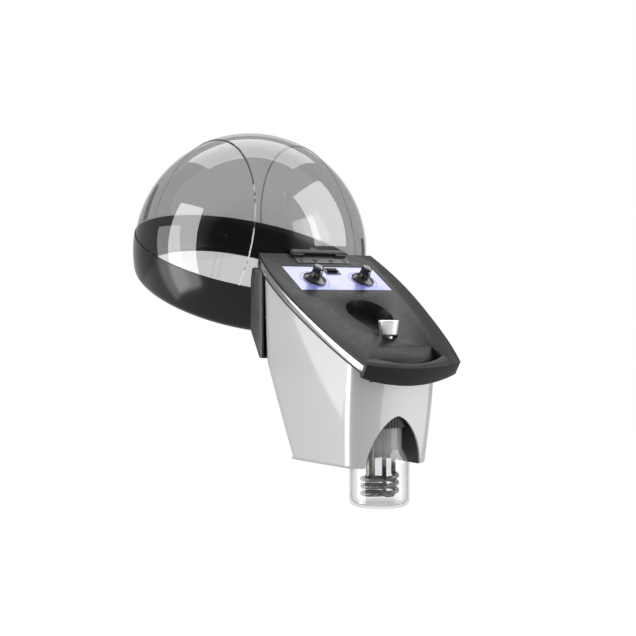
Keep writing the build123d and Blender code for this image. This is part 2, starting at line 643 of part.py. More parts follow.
def boiler_head():
    """Aluminium head of the boiler: a flange on the bay's roof and a skirt that the collar turns on."""
    head = rod(HEAD_FLANGE_R, BAY_ROOF_Z, HEAD_TOP_Z) + rod(SKIRT_OUT, HEAD_FLOOR_Z, BAY_ROOF_Z + 1)
    head += tube(SKIRT_OUT, SKIRT_IN, HEAD_FLOOR_Z - SKIRT_DEPTH, HEAD_FLOOR_Z + 1)
    head = Pos(0, JAR_Y, 0) * head
    head -= rod(FILLER_OUT_R + RUNNING, 0, BIG, y=PLUG_Y)
    head -= rod(DUCT_R - DUCT_WALL, 0, BIG, y=DUCT_Y)
    head -= rod(PROBE_R + RUNNING, 0, BIG, PROBE_X, JAR_Y)
    for x, y in heater_legs():
        head -= rod(COIL_TUBE_R + RUNNING, 0, BIG, x, JAR_Y + y)
    return head


def head_gasket():
    """Rubber ring between the jar's mouth and the boiler head."""
    return Pos(0, JAR_Y, 0) * tube(JAR_NECK_R, JAR_NECK_IN + 0.2, JAR_TOP_Z + SEAT_GAP, HEAD_FLOOR_Z)


def heater_legs():
    """Where the coil's two straight legs stand, from the jar's axis."""
    return (COIL_R, 0.0), (RETURN_LEG_R, 0.0)


def heater_coil():
    """Tubular heater: three level turns, one leg up from the outside and one up through the middle."""
    height = COIL_PITCH * COIL_TURNS
    path = Helix(pitch=COIL_PITCH, height=height, radius=COIL_R)
    section = Plane(origin=path @ 0, z_dir=path % 0) * Circle(COIL_TUBE_R)
    coil = sweep(section, path=path, is_frenet=True)
    coil = Pos(0, 0, COIL_LOW_Z) * coil
    top = HEAD_TOP_Z + 2 * NUT_HEIGHT
    (outer_x, _), (inner_x, _) = heater_legs()
    coil += rod(COIL_TUBE_R, COIL_LOW_Z + height, top, outer_x)
    coil += Pos(outer_x, 0, COIL_LOW_Z + height) * Sphere(COIL_TUBE_R)
    coil += rod(COIL_TUBE_R, COIL_LOW_Z, top, inner_x)
    coil += Pos(inner_x, 0, COIL_LOW_Z) * Sphere(COIL_TUBE_R)
    coil += Pos(outer_x, 0, COIL_LOW_Z) * Sphere(COIL_TUBE_R)
    coil += Pos((outer_x + inner_x) / 2, 0, COIL_LOW_Z) * Rot(0, 90, 0) * Cylinder(COIL_TUBE_R, outer_x - inner_x)
    return Pos(0, JAR_Y, 0) * coil


def heater_nuts():
    """Hexagon nuts that clamp the heater's legs to the boiler head."""
    nuts = []
    for x, y in heater_legs():
        nut = extrude(RegularPolygon(NUT_R, 6), NUT_HEIGHT) - Cylinder(COIL_TUBE_R + RUNNING, 3 * NUT_HEIGHT)
        nuts.append(Pos(x, JAR_Y + y, CHASSIS_TOP_Z) * nut)
    return Compound(nuts)


def level_probe():
    """Closed probe tube that senses the water level."""
    probe = rod(PROBE_R, PROBE_FOOT_Z + PROBE_R, CHASSIS_TOP_Z + 12) + Pos(0, 0, PROBE_FOOT_Z + PROBE_R) * Sphere(
        PROBE_R
    )
    return Pos(PROBE_X, JAR_Y, 0) * (probe + rod(2, CHASSIS_TOP_Z, CHASSIS_TOP_Z + 20))


def filler_tube():
    """Straight tube from the filler well to the boiler."""
    top = well_floor_z() + 1
    pipe = tube(FILLER_OUT_R, FILLER_BORE_R, HEAD_FLOOR_Z, top, y=PLUG_Y)
    return pipe & below(PANEL.offset(-WELL_DEPTH))


def well_floor_z():
    """Height of the filler well's underside on the plug's axis, at its higher edge."""
    v = (PLUG_Y + FILLER_OUT_R - PANEL_Y) / math.cos(SLOPE)
    return on_panel(0, v, -WELL_DEPTH).Z + WELL_DEPTH


def filler_plug():
    """Satin silver plug: a tapered finger grip on a stem that closes the filler's mouth."""
    foot = on_panel(0, 0, -WELL_DEPTH + WELL_WALL).Z + (PLUG_Y + PLUG_FOOT_R - PANEL_Y) * math.tan(SLOPE)
    foot += PLUG_FOOT_LIFT
    outline = Polyline((0, foot), (PLUG_FOOT_R, foot), (PLUG_TOP_R, PLUG_TOP_Z), (0, PLUG_TOP_Z), (0, foot))
    grip = revolve(Plane.XZ * make_face(outline), Axis.Z)
    rims = [e for e in grip.edges() if abs(e.center().Z - PLUG_TOP_Z) < 0.1 and e.radius > 1]
    grip = fillet(rims, 3)
    stem = rod(PLUG_STEM_R, foot - PLUG_FOOT_LIFT - PLUG_STEM_LENGTH, foot + 1)
    return Pos(0, PLUG_Y, 0) * (grip + stem)


# ---- chassis, pole socket and electrics ---------------------------------------------------------------------
def chassis_plate():
    """Steel plate that ties the boiler head and the pole socket together."""
    plate = slab(-CHASSIS_HALF, CHASSIS_HALF, JAR_Y - HEAD_FLANGE_R + 8, CHASSIS_BACK_Y, HEAD_TOP_Z, CHASSIS_TOP_Z)
    plate -= rod(FILLER_OUT_R + SLIP, 0, BIG, y=PLUG_Y)
    plate -= rod(DUCT_R + SLIP, 0, BIG, y=DUCT_Y)
    plate -= rod(PROBE_R + SLIP, 0, BIG, PROBE_X, JAR_Y)
    for x, y in heater_legs():
        plate -= rod(COIL_TUBE_R + SLIP, 0, BIG, x, JAR_Y + y)
    plate -= rod(SOCKET_OUT_R + SLIP, 0, BIG)
    return plate


def pole_socket():
    """Blind steel socket for the stand's pole, with a flange on the chassis."""
    top = max(POLE_DEPTH + SOCKET_CAP, CHASSIS_TOP_Z + 3)
    socket = rod(SOCKET_OUT_R, 0, top) + rod(SOCKET_FLANGE_R, CHASSIS_TOP_Z, CHASSIS_TOP_Z + 3)
    socket -= rod(POLE_R, -1, POLE_DEPTH)
    return socket - grub_rod(GRUB_R + RUNNING)


def grub_rod(radius):
    """Cross bore line of the grub screw, from the back."""
    return Pos(0, POLE_R + SOCKET_WALL / 2, 20) * Rot(90, 0, 0) * Cylinder(radius, SOCKET_WALL + 4)


def pole_grub_screw():
    """Hexagon-socket grub screw that grips the pole."""
    length = SOCKET_WALL + 3
    body = Pos(0, POLE_R + length / 2 + 0.3, 20) * Rot(90, 0, 0) * Cylinder(GRUB_R, length)
    key = Pos(0, POLE_R + length, 20) * Rot(90, 0, 0) * extrude(RegularPolygon(1.6, 6), 3, both=True)
    return body - key


def chassis_posts():
    """Two spacer posts between the bottom plate and the chassis."""
    posts = []
    for side in (-1, 1):
        post = rod(POST_R, BOTTOM_PLATE, HEAD_TOP_Z, side * POST_X, POST_Y)
        posts.append(post - rod(SCREW_R + RUNNING, 0, 2 * SCREW_LENGTH, side * POST_X, POST_Y))
    return Compound(posts)


def base_screw_planes():
    """Underside seats of the screws into the posts."""
    return [Plane(origin=(side * POST_X, POST_Y, 0), x_dir=(1, 0, 0), z_dir=(0, 0, -1)) for side in (-1, 1)]


def power_inlet():
    """Three-pin mains inlet in the bottom plate."""
    case = slab(-INLET_WIDTH / 2, INLET_WIDTH / 2, -INLET_LENGTH / 2, INLET_LENGTH / 2, -2, INLET_DEPTH)
    case += slab(
        -INLET_WIDTH / 2 - INLET_FLANGE, INLET_WIDTH / 2 + INLET_FLANGE,
        -INLET_LENGTH / 2 - INLET_FLANGE, INLET_LENGTH / 2 + INLET_FLANGE, -2, 0,
    )
    case -= slab(-INLET_WIDTH / 2 + 2, INLET_WIDTH / 2 - 2, -INLET_LENGTH / 2 + 2, INLET_LENGTH / 2 - 2, -3, 16)
    for x, y in ((-7, -2), (0, 3), (7, -2)):
        case += slab(x - 1, x + 1, y - 2, y + 2, 2, INLET_DEPTH + 6)
    return Pos(INLET_X, INLET_Y, 0) * case


def terminal_block():
    """Mains terminal block on the chassis."""
    block = slab(-52, -30, -10, 26, CHASSIS_TOP_Z, CHASSIS_TOP_Z + 14)
    for y in (-4, 8, 20):
        block -= rod(2.5, CHASSIS_TOP_Z + 6, CHASSIS_TOP_Z + 15, -41, y)
    return block


def thermal_cutout():
    """Disc thermostat that stops the heater when the boiler runs dry."""
    disc = rod(8, CHASSIS_TOP_Z, CHASSIS_TOP_Z + 9, -35, JAR_Y - 8)
    return disc + slab(-42, -28, JAR_Y - 10, JAR_Y - 6, CHASSIS_TOP_Z + 8, CHASSIS_TOP_Z + 14)


# ---- steam path ---------------------------------------------------------------------------------------------
def duct_path():
    """Centre line of the steam duct from the boiler head to the back of the hood."""
    port = at_hood(PORT_ANGLE, COVER_FACE_R)
    tangent = math.tan(math.radians(PORT_ANGLE))
    knee = Vector(0, DUCT_KNEE_Y, port.Z - (port.Y - DUCT_KNEE_Y) * tangent)
    rise = Vector(0, DUCT_Y, HEAD_TOP_Z + DUCT_BEND_R * 1.2)
    start = Vector(0, DUCT_Y, HEAD_TOP_Z)
    return FilletPolyline(start, rise, knee, port, radius=[DUCT_BEND_R, DUCT_SWEEP_R])


def steam_duct():
    """Bent steam duct with its mouth in the cover's concave face."""
    path = duct_path()
    section = Plane(origin=path @ 0, z_dir=path % 0) * (Circle(DUCT_R) - Circle(DUCT_R - DUCT_WALL))
    return sweep(section, path=path)


def port_seal():
    """Soft ring round the duct's mouth that the hood closes on."""
    seat = facing_hood(PORT_ANGLE, COVER_FACE_R)
    thickness = COVER_FACE_R - BRACKET_OUT_R - SEAT_GAP
    depth = 3 * thickness
    ring = Cylinder(SEAL_R, depth) - Cylinder(DUCT_R - DUCT_WALL, depth)
    shell = globe(COVER_FACE_R) - globe(BRACKET_OUT_R + SEAT_GAP)
    return shell & (seat * ring)


# ---- rear cover and hinge -----------------------------------------------------------------------------------
def cover_form(inset, face_r):
    """The cover's outer form moved in, hollowed by the sphere that the hood swings in."""
    points = [
        (PANEL_BACK_Y, COVER_TOP_Z - inset),
        (COVER_BACK_Y - inset, COVER_TOP_Z - inset),
        (COVER_BACK_Y - inset, COVER_LOW_Z + inset * 0.6),
        (COVER_TIP_Y - inset * 0.4, COVER_TIP_Z + inset),
        (PANEL_BACK_Y, COVER_TIP_Z + inset),
    ]
    side = Plane.YZ * make_face(Polyline(*points, close=True))
    form = extrude(side, COVER_HALF - inset, both=True)
    if inset == 0:
        edges = [e for e in form.edges() if abs(e.center().X) > COVER_HALF - 1 and e.center().Y > PANEL_BACK_Y + 1]
        form = fillet(edges, 3)
    return form - globe(face_r)


def rear_cover():
    """Black cover behind the housing that carries the hinge and wraps the back of the hood."""
    cover = cover_form(0, COVER_FACE_R) - cover_form(SHELL_WALL, COVER_FACE_R + SHELL_WALL)
    mouth = facing_hood(PORT_ANGLE, COVER_FACE_R) * Cylinder(DUCT_R + RUNNING, 40)
    cover -= mouth
    for hole in screw_holes(cover_screw_planes(), 12):
        cover -= hole
    return cover


def cover_screw_planes():
    """Seats of the screws that pull the cover onto the housing's back, at the cheeks."""
    return [
        Plane(origin=(side * 84, PANEL_BACK_Y + 14, z), x_dir=(1, 0, 0), z_dir=(0, 1, 0))
        for side in (-1, 1)
        for z in (200, 250)
    ]


def hinge_axis_plane():
    """Plane on the hinge's axis whose normal runs along +X."""
    centre = on_panel(0, HINGE_V, HINGE_RISE)
    return Plane(origin=centre, x_dir=(0, 1, 0), z_dir=(1, 0, 0))


def barrel(radius, x0, x1):
    """Cylinder on the hinge's axis between two places along X."""
    return hinge_axis_plane() * Pos(0, 0, (x0 + x1) / 2) * Cylinder(radius, x1 - x0)


def hinge_base():
    """Fixed half of the hinge: a plate on the panel with two outer knuckles."""
    plate = hinge_leaf(0)
    plate &= slab(-BIG, BIG, -BIG, PANEL_BACK_Y, -BIG, BIG)
    inner = BRACKET_HALF + SEAT_GAP
    for x0, x1 in ((inner, HINGE_HALF), (-HINGE_HALF, -inner)):
        ear = barrel(KNUCKLE_R, x0, x1)
        web = PANEL * Pos((x0 + x1) / 2, HINGE_V - 3, HINGE_RISE / 2) * Box(x1 - x0, 10, HINGE_RISE)
        plate += ear + web
    plate -= barrel(KNUCKLE_R + 0.6, -inner, inner)
    plate -= barrel(HINGE_PIN_R + RUNNING, -BIG / 4, BIG / 4)
    for hole in screw_holes(hinge_screw_planes()):
        plate -= hole
    for seat in hinge_screw_planes():
        plate -= seat * Pos(0, 0, SCREW_HEAD) * Cylinder(SCREW_HEAD_R + SLIP, 2 * SCREW_HEAD)
    return plate - globe(HOOD_R + 3)


def hinge_leaf(grow):
    """Leaf of the fixed hinge half, let into the panel."""
    size = Box(2 * (HINGE_HALF + grow), LEAF_LENGTH + 2 * grow, LEAF)
    return PANEL * Pos(0, HINGE_V - LEAF_LENGTH / 2 + 1, LEAF_TOP - LEAF / 2) * size


def hinge_screw_planes():
    """Seats of the screws that hold the hinge to the panel."""
    return [
        Plane(origin=on_panel(x, HINGE_V - 19, LEAF_SEAT), x_dir=(1, 0, 0), z_dir=PANEL.z_dir) for x in (-38, -14, 14, 38)
    ]


def hinge_pin():
    """Steel pin through all the knuckles."""
    return barrel(HINGE_PIN_R, -HINGE_HALF + 1, HINGE_HALF - 1)


# ---- hood ---------------------------------------------------------------------------------------------------
def hood_rim_plane(inset=0.0):
    """Plane of the hood's bottom rim, or parallel to it inside the wall."""
    tilt = math.radians(HOOD_TILT + RIM_EXTRA_TILT)
    centre = HOOD.from_local_coords(Vector(0, 0, -BAND_DEPTH))
    plane = Plane(origin=centre, x_dir=(1, 0, 0), z_dir=(0, -math.sin(tilt), math.cos(tilt)))
    return plane.offset(inset)


def hood_bowl(inset):
    """Globe cut at the rim, with the rim's edge rounded, moved in."""
    bowl = globe(HOOD_R - inset) & above(hood_rim_plane(inset))
    rim = bowl.edges().filter_by(GeomType.CIRCLE).sort_by(Axis.Z)[0]
    return fillet(rim, RIM_ROUND - inset)


def hood_band():
    """Glossy black lower band of the hood, with its rim turned in and a port at the back."""
    band = (hood_bowl(0) - hood_bowl(HOOD_WALL)) & below(HOOD)
    rim = hood_rim_plane()
    drop = abs((rim.to_local_coords(HOOD_CENTRE)).Z)
    offset_y = rim.to_local_coords(HOOD_CENTRE).Y
    mouth_r = math.sqrt(HOOD_R**2 - drop**2) - RIM_LIP
    band -= rim * Pos(0, offset_y, 0) * Cylinder(mouth_r, 4 * HOOD_WALL)
    band -= facing_hood(PORT_ANGLE, HOOD_R) * Cylinder(PORT_R, 30)
    for hole in screw_holes(bracket_screw_planes(), 2 * SCREW_LENGTH):
        band -= hole
    return band


def tongue(grow):
    """Upright arched slab in a plane whose normal runs out from the hood's axis."""
    half = TONGUE_WIDTH / 2 + grow
    top = TONGUE_HEIGHT + grow
    return make_face(
        [
            Polyline((-half, top - half), (-half, TONGUE_FOOT), (half, TONGUE_FOOT), (half, top - half)),
            ThreePointArc((half, top - half), (0, top), (-half, top - half)),
        ]
    )


def crown_wedge():
    """Region between the two leaning planes that bound the crown strip."""
    top = STRIP_HALF - STRIP_LEAN * HOOD_R * 1.1
    outline = Polyline((-STRIP_HALF, 0), (STRIP_HALF, 0), (top, HOOD_R * 1.1), (-top, HOOD_R * 1.1), close=True)
    return HOOD.location * Rot(90, 0, 0) * extrude(make_face(outline), HOOD_R * 1.2, both=True)


def hood_dome():
    """Smoked clear globe with a raised crown strip and four snap tongues."""
    inner_r = HOOD_R - HOOD_WALL - DOME_STEP / 2
    dome = (globe(HOOD_R - DOME_STEP) - globe(inner_r)) & above(HOOD)
    dome += (globe(HOOD_R) - globe(inner_r)) & crown_wedge()
    for turn in TONGUE_AT:
        slot = extrude(tongue(TONGUE_SLOT) - tongue(0), HOOD_R + 5)
        dome -= HOOD.location * Rot(0, 0, turn) * Rot(90, 0, 0) * slot
    return dome


def hood_bracket():
    """Curved steel strip down the back of the hood, ending in the hinge's middle knuckle."""
    shell = globe(BRACKET_OUT_R) - globe(BRACKET_IN_R)
    hinge = on_panel(0, HINGE_V, HINGE_RISE)
    end = at_hood(BRACKET_END, HOOD_R)
    strip = shell & slab(-BRACKET_HALF, BRACKET_HALF, -BIG, HOOD_Y - 60, end.Z, hinge.Z + WEB / 2)
    web = slab(-BRACKET_HALF, BRACKET_HALF, hinge.Y, HOOD_Y - HOOD_R + 6, hinge.Z - WEB / 2, hinge.Z + WEB / 2)
    web -= globe(BRACKET_IN_R)
    bracket = strip + web + barrel(KNUCKLE_R, -BRACKET_HALF, BRACKET_HALF)
    bracket -= barrel(HINGE_PIN_R + RUNNING, -BIG / 4, BIG / 4)
    bracket -= facing_hood(PORT_ANGLE, HOOD_R) * Cylinder(PORT_R + 1, 30)
    for hole in screw_holes(bracket_screw_planes(), 2 * SCREW_LENGTH):
        bracket -= hole
    return bracket


def bracket_screw_planes():
    """Seats of the screws from inside the band into the bracket."""
    planes = []
    for x in (-19, 19):
        for angle in (26.0, 40.0):
            seat = at_hood(angle, HOOD_R - HOOD_WALL - 0.1, x)
            planes.append(Plane(origin=seat, z_dir=HOOD_CENTRE - seat))
    return planes


def steam_diffuser():
    """Small baffle cup inside the band that turns the steam along the wall."""
    seat = facing_hood(PORT_ANGLE, HOOD_R - HOOD_WALL)
    cup = Pos(0, 0, 9) * (Cylinder(PORT_R + 3, 20) - Pos(0, 0, -1.5) * Cylinder(PORT_R + 1, 20))
    for turn in (0, 60, 120):
        cup -= Pos(0, 0, 11) * Rot(0, 0, turn) * Box(60, 7, 9)
    cup = seat * cup
    return cup & globe(HOOD_R - HOOD_WALL - RUNNING * 2)


def save(name, shape):
    """Write one node's STEP file."""
    export_step(shape, os.path.join("parts", name + ".step"))


def main():
    """Build every node."""
    os.makedirs("parts", exist_ok=True)
    timer_case = Cylinder(TIMER_R, TIMER_DEPTH)
    regulator_case = Box(REGULATOR_SIDE, REGULATOR_SIDE, REGULATOR_DEPTH)
    nodes = {
        "housing_shell": housing_shell(),
        "bay_liner": bay_liner(),
        "bottom_plate": bottom_plate(),
        "control_panel": control_panel(),
        "side_trim_left": side_trim(-1),
        "side_trim_right": side_trim(1),
        "fascia_label": fascia_label(),
        "timer_knob": knob(-1),
        "timer_shaft": control_shaft(-1),
        "timer_body": control_body(-1, timer_case),
        "power_knob": knob(1),
        "power_shaft": control_shaft(1),
        "power_regulator": control_body(1, regulator_case),
        "switch_body": switch_body(),
        "rocker_button": rocker_button(),
        "filler_plug": filler_plug(),
        "filler_tube": filler_tube(),
        "glass_jar": glass_jar(),
        "jar_collar": jar_collar(),
        "boiler_head": boiler_head(),
        "head_gasket": head_gasket(),
        "heater_coil": heater_coil(),
        "heater_nuts": heater_nuts(),
        "level_probe": level_probe(),
        "thermal_cutout": thermal_cutout(),
        "chassis_plate": chassis_plate(),
        "chassis_posts": chassis_posts(),
        "pole_socket": pole_socket(),
        "pole_grub_screw": pole_grub_screw(),
        "power_inlet": power_inlet(),
        "terminal_block": terminal_block(),
        "steam_duct": steam_duct(),
        "port_seal": port_seal(),
        "rear_cover": rear_cover(),
        "hinge_base": hinge_base(),
        "hinge_pin": hinge_pin(),
        "hinge_screws": Compound([screw(p) for p in hinge_screw_planes()]),
        "cover_screws": Compound([screw(p, 12) for p in cover_screw_planes()]),
        "base_screws": Compound([screw(p) for p in base_screw_planes()]),
        "hood_band": hood_band(),
        "hood_dome": hood_dome(),
        "hood_bracket": hood_bracket(),
        "bracket_screws": Compound([screw(p, HOOD_WALL + BRACKET_WALL) for p in bracket_screw_planes()]),
        "steam_diffuser": steam_diffuser(),
    }
    for name, shape in nodes.items():
        save(name, shape)


main()
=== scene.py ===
"""Salon hair steamer head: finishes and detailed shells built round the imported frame.

Lengths are metres in the frame's axes: +Z up, -Y toward the operator, +X to the operator's right."""

import json
import math

import bmesh
import bpy
from bpy.props import FloatProperty, FloatVectorProperty, PointerProperty
from mathutils import Matrix, Vector


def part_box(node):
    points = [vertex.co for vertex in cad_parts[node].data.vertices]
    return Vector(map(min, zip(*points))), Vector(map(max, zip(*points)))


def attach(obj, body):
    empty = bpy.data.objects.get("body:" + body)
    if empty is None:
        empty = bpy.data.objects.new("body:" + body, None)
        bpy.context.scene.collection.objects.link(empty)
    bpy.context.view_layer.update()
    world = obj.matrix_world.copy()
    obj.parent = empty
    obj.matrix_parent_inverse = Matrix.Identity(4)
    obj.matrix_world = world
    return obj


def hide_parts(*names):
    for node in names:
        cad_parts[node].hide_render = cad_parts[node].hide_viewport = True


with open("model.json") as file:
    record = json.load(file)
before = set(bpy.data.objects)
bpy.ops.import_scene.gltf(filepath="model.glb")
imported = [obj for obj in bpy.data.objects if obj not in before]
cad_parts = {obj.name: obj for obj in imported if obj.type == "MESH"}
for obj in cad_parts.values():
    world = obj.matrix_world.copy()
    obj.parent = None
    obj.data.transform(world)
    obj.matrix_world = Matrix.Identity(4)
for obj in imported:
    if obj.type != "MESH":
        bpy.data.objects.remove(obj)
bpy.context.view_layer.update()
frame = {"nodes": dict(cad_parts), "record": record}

bl_info = {
    "name": "Salon Steamer Head",
    "version": (1, 0, 0),
    "blender": (4, 5, 0),
    "location": "View3D > Sidebar > Steamer",
    "description": "Builds the housing, globe hood, controls and boiler jar of a salon hair steamer",
    "category": "Add Mesh",
}

MM = 0.001
POLE_R = 1e-4  # a turned solid stops this far from its axis

# ---- places read from the frame -----------------------------------------------------------------------------
BAND_LOW, BAND_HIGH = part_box("hood_band")
JAR_LOW, JAR_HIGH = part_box("glass_jar")

# ---- the hood's ball and its planes -------------------------------------------------------------------------
HOOD_R = (BAND_HIGH.x - BAND_LOW.x) / 2
HOOD_CENTRE = Vector((0, 0.280, 0.305))
HOOD_TILT = math.radians(21.5)
RIM_SLOPE = math.tan(math.radians(2.6))  # the rim dips toward the operator by this share of its reach
BAND_DEPTH = 67.5 * MM  # seam to rim, at the hood's sides

# ---- the control panel's plane ------------------------------------------------------------------------------
SLOPE = math.radians(32.3)
PANEL_ORIGIN = Vector((0, 0.030, 0.260))
PANEL_DEPTH = 16 * MM
PANEL_BACK = 53 * MM  # level distance from the panel's origin to its back edge
KNOB_X = 41.8 * MM
KNOB_V = -9 * MM  # up the slope from the panel's origin


class SteamerSettings(bpy.types.PropertyGroup):
    """Sizes and colours of the steamer head that a user would change."""

    dome_clearness: FloatProperty(
        name="Dome clearness", description="Share of light that one face of the smoked globe passes",
        default=0.745, min=0.1, max=1.0, subtype="FACTOR",
    )
    crown_step: FloatProperty(
        name="Crown step", description="Height of the raised strip that runs over the globe",
        default=1.8 * MM, min=0.0, max=2.5 * MM, unit="LENGTH",
    )
    housing_bulge: FloatProperty(
        name="Housing bulge", description="How far the housing's sides swell between their edges",
        default=2.2 * MM, min=0.0, max=6 * MM, unit="LENGTH",
    )
    silver_colour: FloatVectorProperty(
        name="Silver", description="Base colour of the painted housing",
        default=(0.35, 0.35, 0.36), min=0.0, max=1.0, size=3, subtype="COLOR",
    )
    panel_colour: FloatVectorProperty(
        name="Panel black", description="Base colour of the satin control panel",
        default=(0.009, 0.009, 0.0095), min=0.0, max=1.0, size=3, subtype="COLOR",
    )
    label_colour: FloatVectorProperty(
        name="Label", description="Base colour of the printed control label",
        default=(0.44, 0.46, 0.82), min=0.0, max=1.0, size=3, subtype="COLOR",
    )


# ---- vectors and planes -------------------------------------------------------------------------------------
def on_panel(x, v, w=0.0):
    """Point from panel coordinates: x across, v up the slope and w square to the face."""
    c, s = math.cos(SLOPE), math.sin(SLOPE)
    return PANEL_ORIGIN + Vector((x, v * c - w * s, v * s + w * c))


def in_hood(x, back, up):
    """Point from hood coordinates: x across, back along the seam plane and up square to it."""
    c, s = math.cos(HOOD_TILT), math.sin(HOOD_TILT)
    return HOOD_CENTRE + Vector((x, back * c - up * s, back * s + up * c))


def panel_matrix(x, v, w=0.0):
    """Placement on the panel with local Z square to its face."""
    return Matrix.Translation(on_panel(x, v, w)) @ Matrix.Rotation(SLOPE, 4, "X")


# ---- meshes -------------------------------------------------------------------------------------------------
def link(mesh, name):
    """A scene object for a mesh."""
    obj = bpy.data.objects.new(name, mesh)
    bpy.context.scene.collection.objects.link(obj)
    return obj


def mesh_from(name, points, faces):
    """A mesh from points and faces, with outward normals."""
    mesh = bpy.data.meshes.new(name)
    mesh.from_pydata([tuple(p) for p in points], [], faces)
    bm = bmesh.new()
    bm.from_mesh(mesh)
    bmesh.ops.remove_doubles(bm, verts=bm.verts, dist=1e-7)
    bmesh.ops.recalc_face_normals(bm, faces=bm.faces)
    bm.to_mesh(mesh)
    bm.free()
    return mesh


def skin(rings, close_ends=False, close_rows=False):
    """Points and faces of a grid of equally long closed rings."""
    count = len(rings[0])
    points = [p for ring in rings for p in ring]
    rows = len(rings)
    faces = []
    for r in range(rows if close_rows else rows - 1):
        for c in range(count):
            d = (c + 1) % count
            n = (r + 1) % rows
            faces.append((r * count + c, r * count + d, n * count + d, n * count + c))
    if close_ends:
        faces.append(tuple(reversed(range(count))))
        faces.append(tuple(range((rows - 1) * count, rows * count)))
    return points, faces


def lathe(name, profile, matrix, segments=96, wave=None):
    """A turned solid from (radius, height) pairs; wave changes a radius by its turn and height."""
    rings = []
    for r, z in profile:
        ring = []
        for i in range(segments):
            a = math.tau * i / segments
            radius = r + (wave(a, r, z) if wave else 0.0)
            ring.append(matrix @ Vector((radius * math.cos(a), radius * math.sin(a), z)))
        rings.append(ring)
    ends = profile[0] != profile[-1]
    points, faces = skin(rings if ends else rings[:-1], close_ends=ends, close_rows=not ends)
    return mesh_from(name, points, faces)


def rounded(points, radius, steps=6):
    """An open profile whose inner corners are replaced by arcs of one radius."""
    out = [points[0]]
    for before, corner, after in zip(points, points[1:], points[2:]):
        b, c, a = Vector(before), Vector(corner), Vector(after)
        to_b, to_a = (b - c), (a - c)
        reach = min(radius, to_b.length * 0.45, to_a.length * 0.45)
        start, end = c + to_b.normalized() * reach, c + to_a.normalized() * reach
        for i in range(steps + 1):
            t = i / steps
            out.append(tuple(start * (1 - t) ** 2 + c * 2 * t * (1 - t) + end * t**2))
    out.append(points[-1])
    return out


def smooth(mesh, angle=35):
    """Smooth shading with edges sharper than the angle kept."""
    mesh.shade_smooth()
    mesh.set_sharp_from_angle(angle=math.radians(angle))


def finish_piece(obj, body, surface, replaces=(), angle=35):
    """Shading, material and the frame's calls for a finished piece."""
    if angle:
        smooth(obj.data, angle)
    obj.data.materials.clear()
    obj.data.materials.append(surface)
    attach(obj, body)
    if replaces:
        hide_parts(*replaces)
    return obj


def baked(obj):
    """The object's modifiers applied to its mesh."""
    graph = bpy.context.evaluated_depsgraph_get()
    mesh = bpy.data.meshes.new_from_object(obj.evaluated_get(graph))
    obj.modifiers.clear()
    obj.data = mesh
    return obj


def cut(obj, points, faces):
    """Cuts a closed solid out of the object's mesh."""
    tool = link(mesh_from("cutter", points, faces), "cutter")
    modifier = obj.modifiers.new("cut", "BOOLEAN")
    modifier.operation = "DIFFERENCE"
    modifier.solver = "EXACT"
    modifier.object = tool
    baked(obj)
    bpy.data.objects.remove(tool)


def sweep_tube(name, path, radius, sides=16):
    """A closed round tube along a list of points."""
    rings = []
    side = None
    for i, p in enumerate(path):
        ahead = (path[min(i + 1, len(path) - 1)] - path[max(i - 1, 0)]).normalized()
        if side is None:
            side = ahead.orthogonal().normalized()
        side = (side - ahead * side.dot(ahead)).normalized()
        up = ahead.cross(side)
        ring = []
        for k in range(sides):
            a = math.tau * k / sides
            ring.append(p + (side * math.cos(a) + up * math.sin(a)) * radius)
        rings.append(ring)
    points, faces = skin(rings, close_ends=True)
    return mesh_from(name, points, faces)


# ---- finishes -----------------------------------------------------------------------------------------------
class Wiring:
    """Short ways to add nodes to a tree and to join them."""

    def __init__(self, tree):
        self.tree = tree

    def feed(self, target, value):
        """Joins an output to an input, or sets the input to a constant."""
        if isinstance(value, bpy.types.NodeSocket):
            self.tree.links.new(value, target)
        else:
            target.default_value = value

    def node(self, kind, operation=None, **values):
        """A node of a kind, with its inputs fed by name."""
        node = self.tree.nodes.new(kind)
        if operation:
            node.operation = operation
        for key, value in values.items():
            self.feed(node.inputs[key.replace("_", " ")], value)
        return node

    def calc(self, operation, *values):
        """A maths step on sockets or plain numbers."""
        node = self.node("ShaderNodeMath", operation)
        for socket, value in zip(node.inputs, values):
            self.feed(socket, value)
        return node.outputs[0]

    def mixed(self, share, first, second):
        """A shader between two, by a share."""
        node = self.node("ShaderNodeMixShader")
        for socket, value in zip(node.inputs, (share, first, second)):
            self.feed(socket, value)
        return node.outputs[0]


